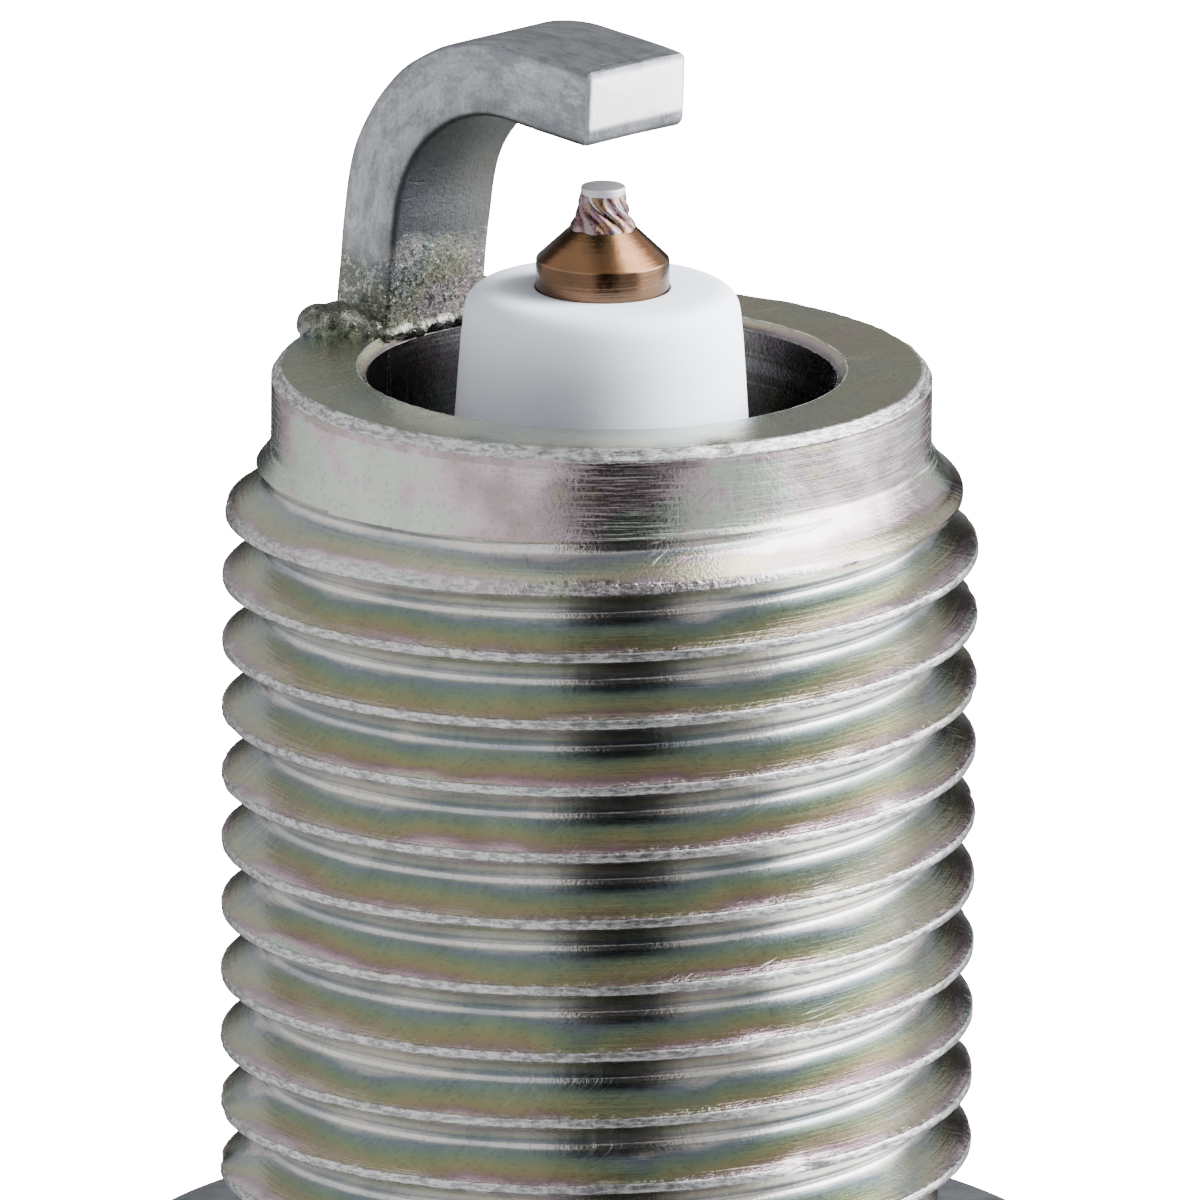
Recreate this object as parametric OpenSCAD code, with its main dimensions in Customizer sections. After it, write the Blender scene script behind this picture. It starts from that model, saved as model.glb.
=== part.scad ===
// Spark plug with a 14 mm thread, a fine-wire centre electrode and a removable barrel terminal.
// Millimetres. +Z runs along the axis to the firing end. The origin is the centre of the gasket's
// sealing face, and the ground strap lies in the XZ plane with its foot on the -X side.

/* [Thread] */
// Major diameter of the shell's thread
thread_d = 13.84; // [13.72:0.02:13.94]
// Axial distance between thread crests
thread_pitch = 1.25; // [1:0.25:1.5]
// Radial height of the thread
thread_depth = 0.7; // [0.5:0.05:0.75]
// Length from the flange's seat to the shell's end face
reach = 19; // [18:0.5:22]
// Number of full thread crests
thread_turns = 11; // [8:1:11]

/* [Shell] */
// Bore at the firing end
shell_bore_d = 8.6; // [8.4:0.1:8.8]
// Diameter of the plain pilot above the thread
pilot_d = 12.2; // [12:0.1:12.4]
// Height of the plain pilot
pilot_h = 1.6; // [1:0.1:1.8]
// Size across the flats of the hexagon
hex_af = 16; // [15.8:0.1:16.4]
// Height of the hexagon
hex_h = 8.5; // [7.5:0.5:8.5]
// Diameter of the flange that carries the gasket
flange_d = 18.9; // [18.6:0.1:20]

/* [Gasket] */
// Outer diameter of the folded ring
gasket_d = 18.4; // [18:0.1:18.6]
// Height of the folded ring before it is crushed
gasket_h = 1.9; // [1.8:0.05:2.1]
// Thickness of the sheet that it is folded from
gasket_sheet = 0.4; // [0.3:0.05:0.45]

/* [Insulator] */
// Height of the nose above the shell's end face
nose_rise = 1.5; // [1:0.1:2]
// Diameter of the nose at its tip
nose_d = 5.3; // [5:0.1:5.4]
// Diameter of the exposed rear part
insulator_d = 10.4; // [10.2:0.1:10.6]
// Distance from the gasket's sealing face to the insulator's rear end
insulator_rear = 43; // [41:0.5:45]
// Number of ribs on the rear part
rib_count = 5; // [3:1:5]

/* [Electrodes] */
// Diameter of the centre electrode's rod
rod_d = 2.5; // [2.4:0.05:2.6]
// Diameter of the fine-wire tip
tip_d = 0.76; // [0.5:0.02:0.8]
// Height of the tip's end above the shell's end face
tip_rise = 3.4; // [3.35:0.05:3.6]
// Width of the ground strap
strap_w = 2.6; // [2.2:0.1:2.7]
// Thickness of the ground strap
strap_t = 1.42; // [1.1:0.02:1.5]
// Height of the strap's top above the shell's end face
strap_rise = 6; // [5.8:0.05:6.2]
// Angle by which the strap's arm dips towards its free end
strap_dip = 3.5; // [0:0.5:5]
// Distance that the strap's end passes the axis
strap_past_axis = 0.92; // [0.6:0.02:1.2]

/* [Terminal] */
// Diameter of the barrel terminal
terminal_d = 6.35; // [6.3:0.05:6.4]
// Length of the barrel terminal
terminal_h = 8.5; // [8:0.1:9]
// Diameter over the stud's screw end
stud_d = 3.9; // [3.86:0.01:3.94]

/* [Hidden] */
$fn = 96;
small_fn = 48;
wire_fn = 32;
round_steps = 8;
over = 1;

// Radii and heights that several pieces share
thread_r = thread_d / 2;
root_r = thread_r - thread_depth;
crest_flat = thread_pitch / 8;
flank_run = thread_depth * tan(30);
seat_z = -gasket_h;
end_z = seat_z + reach;
bore_r = shell_bore_d / 2;
pilot_r = pilot_d / 2;
rim_chamfer = 0.16;
neck_r = root_r - 0.1;
neck_slope_h = 0.15;
first_crest_z = 1.6;
gasket_grip = 0.17;

// Outside of the shell, rearwards from the flange
flange_r = flange_d / 2;
flange_bottom = seat_z - 3.4;
flange_edge = 0.3;
flange_under = 0.5;
waist_r = 7.7;
waist_top = flange_bottom - 0.6;
hex_top = waist_top - 1.7;
hex_bottom = hex_top - hex_h;
hex_corner_r = hex_af / 2 / cos(30);
hex_chamfer_r = hex_af / 2 + 0.25;
hex_chamfer_h = (hex_corner_r - hex_chamfer_r) * tan(30);
hex_spare = 0.5;
lip_root_r = 7.4;
lip_sink = 0.3;
lip_straight = 0.5;
lip_round = 1.4;
lip_centre_z = hex_bottom - 0.7;
lip_bottom = lip_centre_z - lip_round;

// Inside of the shell: end bore, ledge, seat cone, barrel and packing chamber
ledge_r = 3.75;
ledge_top = end_z - 8.1;
ledge_bottom = ledge_top - 2.4;
barrel_r = 5.25;
seat_slope = 0.58;
chamber_r = 6.15;
chamber_top = hex_top - 0.6;
lip_bore_r = insulator_d / 2 + 0.1;
lip_taper_top = hex_bottom - 0.9;
lip_taper_bottom = hex_bottom - 1.5;

// Outside of the insulator
washer_drop = 0.35;
nose_r = nose_d / 2;
nose_top = end_z + nose_rise;
nose_round = 0.38;
nose_root_r = 3.25;
nose_root_z = ledge_top + 0.6;
land_top_z = ledge_top - 0.1;
land_r = 3.6;
body_r = barrel_r - 0.15;
collar_r = chamber_r - 0.15;
collar_top = chamber_top - 0.5;
collar_bottom = collar_top - 2.6;
rear_r = insulator_d / 2;
collar_run = collar_r - rear_r;
rear_z = -insulator_rear;
rib_pitch = 3;
rib_depth = 0.55;
rib_first_z = rear_z + 5.2;
taper_h = 4.2;
rear_end_r = 4.3;
rear_end_round = 0.5;
rib_steps = 12;

// Wire rings at both ends of the powder
wire_r = (chamber_r - rear_r) / 2 - 0.02;
wire_centre_r = (chamber_r + rear_r) / 2;
lower_wire_z = collar_bottom - collar_run - 0.2;
upper_wire_z = hex_bottom - 0.62;

// Stepped bore of the insulator and what fills it
rod_r = rod_d / 2;
rod_clear = 0.05;
rod_bore_r = rod_r + rod_clear;
fill_r = 2;
step_z = 4.25;
head_r = fill_r - rod_clear;
head_bottom = 2.4;
tail_r = 1.2;
tail_bottom = 1.4;
resistor_top = -1.2;
resistor_bottom = -11.2;
upper_glass_bottom = -14.2;
stud_foot_z = -13.2;
stud_r = 1.85;
stud_edge = 0.3;

// Centre electrode above the nose
shoulder_z = nose_top + 0.54;
shoulder_edge = 0.06;
cone_top_z = shoulder_z + 0.59;
cone_top_r = 0.6;
tip_r = tip_d / 2;
tip_top_z = end_z + tip_rise;
weld_top_z = tip_top_z - 0.14;
weld_waist_r = 0.46;
weld_top_r = 0.43;
weld_flare = 0.03;
tip_foot_z = cone_top_z + 0.17;
core_r = 0.75;
core_top = end_z - 1.2;
core_point_h = 0.9;

// Ground strap: a leg that leans in, a large bend and a straight arm over the tip
strap_top_z = end_z + strap_rise;
bend_r = 4.1;
bend_x = -1.43;
bend_z = strap_top_z - bend_r;
lean = 6;
strap_end_cut = 0.2;
strap_bend_steps = 24;
arm_length = (strap_past_axis - bend_x - bend_r * sin(strap_dip)) / cos(strap_dip);
leg_top = [bend_x - bend_r * cos(lean), bend_z + bend_r * sin(lean)];
foot_x = leg_top[0] - (leg_top[1] - end_z) * tan(lean);
foot_t = strap_t / cos(lean);
weld_h = 0.3;
weld_reach_y = 2.35;
weld_margin = 0.2;
bead_r = 0.6;
bead_y = strap_w / 2 + 0.5;

// Terminal
stud_collar_r = 2.9;
stud_collar_h = 0.9;
nut_top = rear_z - stud_collar_h - 0.1;
nut_bottom = nut_top - terminal_h;
nut_r = terminal_d / 2;
nut_bore_r = stud_d / 2 + 0.05;
nut_groove_r = 2.6;
screw_end_z = nut_bottom + 0.9;
screw_edge = 0.4;

// Corner points of one thread crest centred at height z, listed rearwards
function crest(z) = [
    [root_r, z + crest_flat / 2 + flank_run],
    [thread_r, z + crest_flat / 2],
    [thread_r, z - crest_flat / 2],
    [root_r, z - crest_flat / 2 - flank_run]
];

// Outline of an arc in the plane, centre c, from angle a to angle b in n steps
function arc(c, r, a, b, n) = [
    for (i = [0:n])
        let (t = a + (b - a) * i / n)
        [c[0] + r * cos(t), c[1] + r * sin(t)]
];

// Height of the shell's inner seat cone at radius r
function seat_cone_z(r) = ledge_bottom - (r - ledge_r) * seat_slope;

module revolve(points) {
    rotate_extrude() polygon(points);
}

module ring(outer_r, inner_r, low_z, high_z) {
    revolve([[inner_r, low_z], [outer_r, low_z], [outer_r, high_z], [inner_r, high_z]]);
}

module wire_ring(centre_r, wire_r, z) {
    rotate_extrude()
        translate([centre_r, z])
            circle(r = wire_r, $fn = wire_fn);
}

// Outside of the shell above and below the hexagon, as one solid of revolution
module shell_blank() {
    revolve(concat(
        [[0, end_z], [pilot_r - rim_chamfer, end_z], [pilot_r, end_z - rim_chamfer]],
        [[pilot_r, end_z - pilot_h], [neck_r, end_z - pilot_h - neck_slope_h]],
        [for (i = [thread_turns - 1:-1:0]) each crest(first_crest_z + i * thread_pitch)],
        [[neck_r, first_crest_z - crest_flat / 2 - flank_run - 0.1], [neck_r, seat_z]],
        [[flange_r - flange_edge, seat_z], [flange_r, seat_z - flange_edge]],
        [[flange_r, flange_bottom + flange_under], [flange_r - flange_under, flange_bottom]],
        [[waist_r, waist_top], [waist_r, hex_top - lip_sink], [lip_root_r, hex_top - lip_sink]],
        [[lip_root_r, hex_bottom - lip_straight]],
        arc([lip_root_r - lip_round, lip_centre_z], lip_round, 0, -90, round_steps),
        [[0, lip_bottom]]
    ));
}

module hexagon() {
    intersection() {
        translate([0, 0, hex_bottom])
            cylinder(r = hex_corner_r, h = hex_h, $fn = 6);
        revolve([
            [0, hex_bottom],
            [hex_chamfer_r, hex_bottom],
            [hex_corner_r + hex_spare, hex_bottom + hex_chamfer_h + hex_spare * tan(30)],
            [hex_corner_r + hex_spare, hex_top - hex_chamfer_h - hex_spare * tan(30)],
            [hex_chamfer_r, hex_top],
            [0, hex_top]
        ]);
    }
}

module shell_cavity() {
    revolve([
        [0, end_z + over],
        [bore_r + rim_chamfer, end_z + over],
        [bore_r + rim_chamfer, end_z],
        [bore_r, end_z - rim_chamfer],
        [bore_r, ledge_top + bore_r - ledge_r],
        [ledge_r, ledge_top],
        [ledge_r, ledge_bottom],
        [barrel_r, seat_cone_z(barrel_r)],
        [barrel_r, chamber_top + chamber_r - barrel_r],
        [chamber_r, chamber_top],
        [chamber_r, lip_taper_top],
        [lip_bore_r, lip_taper_bottom],
        [lip_bore_r, lip_bottom - over],
        [0, lip_bottom - over]
    ]);
}

module metal_shell() {
    color("#b9bcb4")
        difference() {
            union() {
                shell_blank();
                hexagon();
            }
            shell_cavity();
        }
}

// Point of the arm at a distance past the bend and at a depth below its upper face
function arm_point(along, deep) = [
    bend_x + (bend_r - deep) * sin(strap_dip) + along * cos(strap_dip),
    bend_z + (bend_r - deep) * cos(strap_dip) - along * sin(strap_dip)
];

// Side outline of the strap in the XZ plane, with its foot on the end face
module strap_outline() {
    polygon(concat(
        [[foot_x, end_z]],
        arc([bend_x, bend_z], bend_r, 180 - lean, 90 - strap_dip, strap_bend_steps),
        [arm_point(arm_length - strap_end_cut, 0), arm_point(arm_length, strap_end_cut)],
        [arm_point(arm_length, strap_t - strap_end_cut)],
        [arm_point(arm_length - strap_end_cut, strap_t)],
        arc([bend_x, bend_z], bend_r - strap_t, 90 - strap_dip, 180 - lean, strap_bend_steps),
        [[foot_x + foot_t, end_z]]
    ));
}

module strap_solid() {
    rotate([90, 0, 0])
        linear_extrude(height = strap_w, center = true)
            strap_outline();
}

module ground_electrode() {
    color("#8f8d88") strap_solid();
}

// Flash squeezed out round the strap's foot: a pad on the end face and a bead at each side
module ground_weld() {
    color("#9a9994")
        difference() {
            intersection() {
                union() {
                    translate([foot_x - weld_margin, -weld_reach_y, end_z])
                        cube([foot_t + 2 * weld_margin, 2 * weld_reach_y, weld_h]);
                    for (side = [-1, 1])
                        translate([foot_x + foot_t / 2, side * bead_y, end_z])
                            sphere(r = bead_r, $fn = wire_fn);
                }
                ring(pilot_r - rim_chamfer, bore_r + rim_chamfer, end_z, end_z + over);
            }
            strap_solid();
        }
}

// Three leaves of one sheet, joined by a round fold at the outside and another at the inside
module gasket() {
    gap = (gasket_h - 3 * gasket_sheet) / 2;
    fold_r = gasket_sheet + gap / 2;
    outer_x = gasket_d / 2 - fold_r;
    inner_x = thread_r - gasket_grip + fold_r;
    tail = 0.35;
    color("#5f6a73")
        rotate_extrude()
            union() {
                translate([inner_x, -gasket_sheet])
                    square([outer_x - inner_x, gasket_sheet]);
                translate([inner_x, -2 * gasket_sheet - gap])
                    square([outer_x - inner_x, gasket_sheet]);
                translate([inner_x, -gasket_h])
                    square([outer_x - inner_x + tail, gasket_sheet]);
                gasket_fold([outer_x, -fold_r], fold_r, 1);
                gasket_fold([inner_x, -gasket_h + fold_r], fold_r, -1);
            }
}

// Half ring of the gasket's section, open to the left (side 1) or to the right (side -1)
module gasket_fold(centre, fold_r, side) {
    translate(centre)
        difference() {
            circle(r = fold_r, $fn = small_fn);
            circle(r = fold_r - gasket_sheet, $fn = small_fn);
            translate([side > 0 ? -2 * fold_r : 0, -fold_r])
                square([2 * fold_r, 2 * fold_r]);
        }
}

// Section of the ribs, rearwards from the first one, as smooth waves between the crests
function rib_points() = [
    for (i = [0:rib_count * rib_steps])
        [
            rear_r - rib_depth * (1 - cos(360 * i / rib_steps)) / 2,
            rib_first_z + rib_pitch * (rib_count - i / rib_steps)
        ]
];

module insulator_blank() {
    revolve(concat(
        [[0, nose_top]],
        arc([nose_r - nose_round, nose_top - nose_round], nose_round, 90, 0, round_steps),
        [[nose_root_r, nose_root_z], [land_r, land_top_z]],
        [[land_r, seat_cone_z(land_r) - washer_drop], [body_r, seat_cone_z(body_r) - washer_drop]],
        [[body_r, collar_top + collar_r - body_r], [collar_r, collar_top]],
        [[collar_r, collar_bottom], [rear_r, collar_bottom - collar_run]],
        rib_points(),
        [[rear_r, rear_z + taper_h]],
        arc([rear_end_r - rear_end_round, rear_z + rear_end_round], rear_end_round, 0, -90, round_steps),
        [[0, rear_z]]
    ));
}

module insulator() {
    color("#eceef1")
        difference() {
            insulator_blank();
            revolve([
                [0, nose_top + over],
                [rod_bore_r, nose_top + over],
                [rod_bore_r, step_z],
                [fill_r, step_z - fill_r + rod_bore_r],
                [fill_r, rear_z - over],
                [0, rear_z - over]
            ]);
        }
}

// Outside of the rod: tail, head, seat cone, shank and the turned cone under the tip
module rod_blank() {
    revolve([
        [0, tail_bottom],
        [tail_r, tail_bottom],
        [tail_r, head_bottom],
        [head_r, head_bottom],
        [head_r, step_z - head_r + rod_r - rod_clear],
        [rod_r, step_z - rod_clear],
        [rod_r, shoulder_z - shoulder_edge],
        [rod_r - shoulder_edge, shoulder_z],
        [cone_top_r, cone_top_z],
        [0, cone_top_z]
    ]);
}

module core_solid() {
    revolve([
        [0, tail_bottom],
        [core_r, tail_bottom],
        [core_r, core_top - core_point_h],
        [core_r / 3, core_top],
        [0, core_top]
    ]);
}

module centre_electrode() {
    color("#8a7468")
        difference() {
            rod_blank();
            core_solid();
        }
}

module copper_core() {
    color("#b8734a") core_solid();
}

module tip_weld() {
    waist_z = (cone_top_z + weld_top_z) / 2;
    color("#a79fa8")
        difference() {
            revolve([
                [0, cone_top_z],
                [cone_top_r, cone_top_z],
                [weld_waist_r + weld_flare, (cone_top_z + waist_z) / 2],
                [weld_waist_r, waist_z],
                [weld_top_r, weld_top_z],
                [0, weld_top_z]
            ]);
            translate([0, 0, tip_foot_z]) cylinder(r = tip_r, h = tip_rise, $fn = small_fn);
        }
}

module iridium_tip() {
    color("#c9ccd2")
        translate([0, 0, tip_foot_z])
            cylinder(r = tip_r, h = tip_top_z - tip_foot_z, $fn = small_fn);
}

module lower_glass_seal() {
    color("#6d6458")
        difference() {
            translate([0, 0, resistor_top]) cylinder(r = fill_r, h = head_bottom - resistor_top);
            rod_blank();
        }
}

module resistor() {
    color("#4a4a48")
        translate([0, 0, resistor_bottom])
            cylinder(r = fill_r, h = resistor_top - resistor_bottom);
}

module upper_glass_seal() {
    color("#6d6458")
        difference() {
            translate([0, 0, upper_glass_bottom])
                cylinder(r = fill_r, h = resistor_bottom - upper_glass_bottom);
            stud_shank();
        }
}

module stud_shank() {
    revolve([
        [0, stud_foot_z],
        [stud_r - stud_edge, stud_foot_z],
        [stud_r, stud_foot_z - stud_edge],
        [stud_r, rear_z],
        [0, rear_z]
    ]);
}

module terminal_stud() {
    color("#b4b4b0") {
        stud_shank();
        revolve([
            [0, rear_z],
            [stud_collar_r, rear_z],
            [stud_collar_r, rear_z - stud_collar_h],
            [stud_d / 2, rear_z - stud_collar_h],
            [stud_d / 2, screw_end_z + screw_edge],
            [stud_d / 2 - screw_edge, screw_end_z],
            [0, screw_end_z]
        ]);
    }
}

// Barrel terminal: base, clip groove and head, with a blind hole for the stud's screw end
module terminal_nut() {
    base_h = 2.6;
    base_edge = 0.3;
    groove_h = 1.9;
    groove_slope = 0.5;
    head_edge_h = 0.7;
    head_edge_r = 0.9;
    hole_spare = 0.3;
    color("#c2c3c0")
        difference() {
            revolve([
                [0, nut_top],
                [nut_r - base_edge, nut_top],
                [nut_r, nut_top - base_edge],
                [nut_r, nut_top - base_h],
                [nut_groove_r, nut_top - base_h - groove_slope],
                [nut_groove_r, nut_top - base_h - groove_h + groove_slope],
                [nut_r, nut_top - base_h - groove_h],
                [nut_r, nut_bottom + head_edge_h],
                [nut_r - head_edge_r, nut_bottom],
                [0, nut_bottom]
            ]);
            translate([0, 0, screw_end_z - hole_spare])
                cylinder(r = nut_bore_r, h = terminal_h);
        }
}

module front_packing_washer() {
    inner_r = ledge_r + 0.15;
    outer_r = body_r - 0.1;
    color("#9c9c98")
        revolve([
            [inner_r, seat_cone_z(inner_r)],
            [inner_r, seat_cone_z(inner_r) - washer_drop],
            [outer_r, seat_cone_z(outer_r) - washer_drop],
            [outer_r, seat_cone_z(outer_r)]
        ]);
}

module lower_ring_packing() {
    color("#8d8d89") wire_ring(wire_centre_r, wire_r, lower_wire_z);
}

module upper_ring_packing() {
    color("#8d8d89") wire_ring(wire_centre_r, wire_r, upper_wire_z);
}

module talc_powder() {
    color("#d8d6cf")
        ring(chamber_r, rear_r, upper_wire_z + wire_r, lower_wire_z - wire_r);
}

metal_shell();
ground_electrode();
ground_weld();
gasket();
insulator();
centre_electrode();
copper_core();
tip_weld();
iridium_tip();
lower_glass_seal();
resistor();
upper_glass_seal();
terminal_stud();
terminal_nut();
front_packing_washer();
lower_ring_packing();
talc_powder();
upper_ring_packing();
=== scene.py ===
"""A long-reach spark plug with a fine wire tip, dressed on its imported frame, standing firing end up."""
from __future__ import annotations

import logging
import math
from collections.abc import Sequence
from dataclasses import dataclass, field
from enum import Enum

import bmesh
import bpy
import numpy as np
from mathutils import Matrix, Vector


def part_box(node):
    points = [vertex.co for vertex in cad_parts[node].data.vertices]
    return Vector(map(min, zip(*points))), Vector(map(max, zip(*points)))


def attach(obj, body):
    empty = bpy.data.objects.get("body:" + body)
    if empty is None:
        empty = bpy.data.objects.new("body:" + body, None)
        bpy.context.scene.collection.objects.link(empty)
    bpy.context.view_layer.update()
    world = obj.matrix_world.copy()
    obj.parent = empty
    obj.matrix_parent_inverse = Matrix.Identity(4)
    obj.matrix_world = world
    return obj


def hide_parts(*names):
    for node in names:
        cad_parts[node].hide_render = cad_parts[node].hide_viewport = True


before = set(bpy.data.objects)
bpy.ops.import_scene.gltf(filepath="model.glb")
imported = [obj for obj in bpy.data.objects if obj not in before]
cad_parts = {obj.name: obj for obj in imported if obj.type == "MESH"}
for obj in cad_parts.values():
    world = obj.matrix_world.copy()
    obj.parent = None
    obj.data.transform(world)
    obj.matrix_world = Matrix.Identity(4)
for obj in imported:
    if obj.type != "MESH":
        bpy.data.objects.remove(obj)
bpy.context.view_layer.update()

log = logging.getLogger("spark_plug")

MM = 0.001
TURN = 2.0 * math.pi

Point = tuple[float, float]
Corner = tuple[float, float, float]
Colour = tuple[float, float, float, float]
Node = bpy.types.Node
Socket = bpy.types.NodeSocket
Feed = float | int | tuple | Socket


class Body(Enum):
    """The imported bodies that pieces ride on."""

    PLUG = "plug"
    GASKET = "gasket"
    NUT = "terminal_nut"


class Mark(Enum):
    """Names of the point values that the finishes read."""

    WEAR = "edge_wear"
    DEPTH = "groove_depth"
    SIDE = "flank_side"
    RUN = "run_along"


@dataclass(frozen=True)
class Layout:
    """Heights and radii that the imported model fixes, in millimetres."""

    end_z: float
    seat_z: float
    lip_z: float
    flange_r: float
    nose_top: float
    rear_z: float
    gasket_r: float
    strap_top: float
    strap_end: float
    strap_half: float
    foot_x: float
    rod_top: float
    weld_top: float
    tip_top: float
    tip_r: float
    nut_top: float
    nut_bottom: float
    nut_r: float

    @property
    def ledge_top(self) -> float:
        """Gives the height of the upper edge of the ledge inside the shell."""
        return self.end_z - 8.1

    @property
    def ledge_low(self) -> float:
        """Gives the height of the ledge's lower edge, where the insulator is seated."""
        return self.ledge_top - 2.4

    @classmethod
    def measure(cls) -> Layout:
        """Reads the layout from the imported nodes.

        Returns:
            The heights and radii that every sub-assembly starts from.
        """
        low = {name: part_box(name)[0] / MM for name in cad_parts}
        high = {name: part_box(name)[1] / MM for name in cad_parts}
        return cls(
            end_z=high["metal_shell"].z,
            seat_z=low["gasket"].z,
            lip_z=low["metal_shell"].z,
            flange_r=high["metal_shell"].y,
            nose_top=high["insulator"].z,
            rear_z=low["insulator"].z,
            gasket_r=high["gasket"].x,
            strap_top=high["ground_electrode"].z,
            strap_end=high["ground_electrode"].x,
            strap_half=high["ground_electrode"].y,
            foot_x=low["ground_electrode"].x,
            rod_top=high["centre_electrode"].z,
            weld_top=high["tip_weld"].z,
            tip_top=high["iridium_tip"].z,
            tip_r=high["iridium_tip"].x,
            nut_top=high["terminal_nut"].z,
            nut_bottom=low["terminal_nut"].z,
            nut_r=high["terminal_nut"].x,
        )


class Bench:
    """Hand-modelling steps that the sub-assemblies share."""

    @staticmethod
    def clear() -> None:
        """Leaves edit mode and deselects every object."""
        if bpy.context.object and bpy.context.object.mode != "OBJECT":
            bpy.ops.object.mode_set(mode="OBJECT")
        bpy.ops.object.select_all(action="DESELECT")

    @staticmethod
    def edit(piece: bpy.types.Object) -> None:
        """Opens one piece in edit mode with all of it selected.

        Args:
            piece: The mesh object to open.
        """
        Bench.clear()
        bpy.context.view_layer.objects.active = piece
        piece.select_set(True)
        bpy.ops.object.mode_set(mode="EDIT")
        bpy.ops.mesh.select_all(action="SELECT")

    @staticmethod
    def settle(piece: bpy.types.Object, angle: float = 38.0) -> None:
        """Closes seams, turns faces outwards, smooths the shading and applies the placing.

        Args:
            piece: The mesh object to finish.
            angle: Edges sharper than this many degrees stay sharp.
        """
        Bench.edit(piece)
        bpy.ops.mesh.remove_doubles(threshold=1e-7)
        bpy.ops.mesh.delete_loose()
        bpy.ops.mesh.select_all(action="SELECT")
        bpy.ops.mesh.normals_make_consistent(inside=False)
        bpy.ops.object.mode_set(mode="OBJECT")
        bpy.ops.object.transform_apply(location=True, rotation=True, scale=True)
        bpy.ops.object.shade_smooth_by_angle(angle=math.radians(angle))
        Bench.clear()

    @staticmethod
    def modify(piece: bpy.types.Object, kind: str, **settings: object) -> None:
        """Adds one modifier and applies it.

        Args:
            piece: The mesh object to change.
            kind: The modifier's type.
            **settings: Values for the modifier's own properties.
        """
        Bench.clear()
        bpy.context.view_layer.objects.active = piece
        piece.select_set(True)
        made = piece.modifiers.new(kind.title(), kind)
        for key, value in settings.items():
            setattr(made, key, value)
        bpy.ops.object.modifier_apply(modifier=made.name)

    @staticmethod
    def mark(piece: bpy.types.Object, mark: Mark, values: np.ndarray) -> None:
        """Stores one value on every point of a piece.

        Args:
            piece: The mesh object that gets the values.
            mark: Which value it is.
            values: One number for each point.
        """
        layer = piece.data.attributes.new(mark.value, "FLOAT", "POINT")
        layer.data.foreach_set("value", np.ascontiguousarray(values, dtype=np.float32).ravel())

    @staticmethod
    def lay(piece: bpy.types.Object, mark: Mark, vectors: np.ndarray) -> None:
        """Stores one vector on every point of a piece.

        Args:
            piece: The mesh object that gets the vectors.
            mark: Which vector it is.
            vectors: One row of three numbers for each point, in millimetres.
        """
        layer = piece.data.attributes.new(mark.value, "FLOAT_VECTOR", "POINT")
        layer.data.foreach_set("vector", np.ascontiguousarray(vectors * MM, dtype=np.float32).ravel())

    @staticmethod
    def points(piece: bpy.types.Object) -> np.ndarray:
        """Gives the points of a piece in millimetres, one row each."""
        flat = np.empty(len(piece.data.vertices) * 3, dtype=np.float64)
        piece.data.vertices.foreach_get("co", flat)
        return flat.reshape(-1, 3) / MM

    @staticmethod
    def move(piece: bpy.types.Object, points: np.ndarray) -> None:
        """Puts the points of a piece at new places.

        Args:
            piece: The mesh object to change.
            points: The new places in millimetres, one row each.
        """
        piece.data.vertices.foreach_set("co", (points * MM).ravel())
        piece.data.update()

    @staticmethod
    def turned(name: str, outline: Sequence[Corner], steps: int = 128) -> bpy.types.Object:
        """Spins a closed outline round the axis, as on a lathe.

        Args:
            name: The piece's name.
            outline: Radius, height and edge wear of each corner, in millimetres.
            steps: How many times the outline is set round the turn.

        Returns:
            The turned piece, with the wear of each corner stored on its points.
        """
        Bench.clear()
        bpy.ops.mesh.primitive_circle_add(vertices=len(outline), fill_type="NOTHING", radius=1.0)
        piece = bpy.context.object
        piece.name = piece.data.name = name
        Bench.move(piece, np.array([[r, 0.0, z] for r, z, _ in outline]))
        Bench.mark(piece, Mark.WEAR, np.array([wear for _, _, wear in outline]))
        Bench.edit(piece)
        bpy.ops.mesh.spin(steps=steps, angle=TURN, center=(0.0, 0.0, 0.0), axis=(0.0, 0.0, 1.0))
        Bench.settle(piece)
        return piece

    @staticmethod
    def wrapped(name: str, radius: np.ndarray, height: np.ndarray) -> bpy.types.Object:
        """Wraps a flat grid of points round the axis.

        Args:
            name: The piece's name.
            radius: Radius of each point, a line for each row and a place for each column.
            height: Height of each point, laid out in the same way.

        Returns:
            The wrapped piece, whose two side edges meet but are not yet joined.
        """
        rows, columns = radius.shape
        Bench.clear()
        bpy.ops.mesh.primitive_grid_add(x_subdivisions=columns - 1, y_subdivisions=rows - 1, size=2.0)
        piece = bpy.context.object
        piece.name = piece.data.name = name
        turn = np.linspace(0.0, TURN, columns)
        x, y = radius * np.cos(turn), radius * np.sin(turn)
        Bench.move(piece, np.stack([x, y, height], axis=-1).reshape(-1, 3))
        return piece


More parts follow.
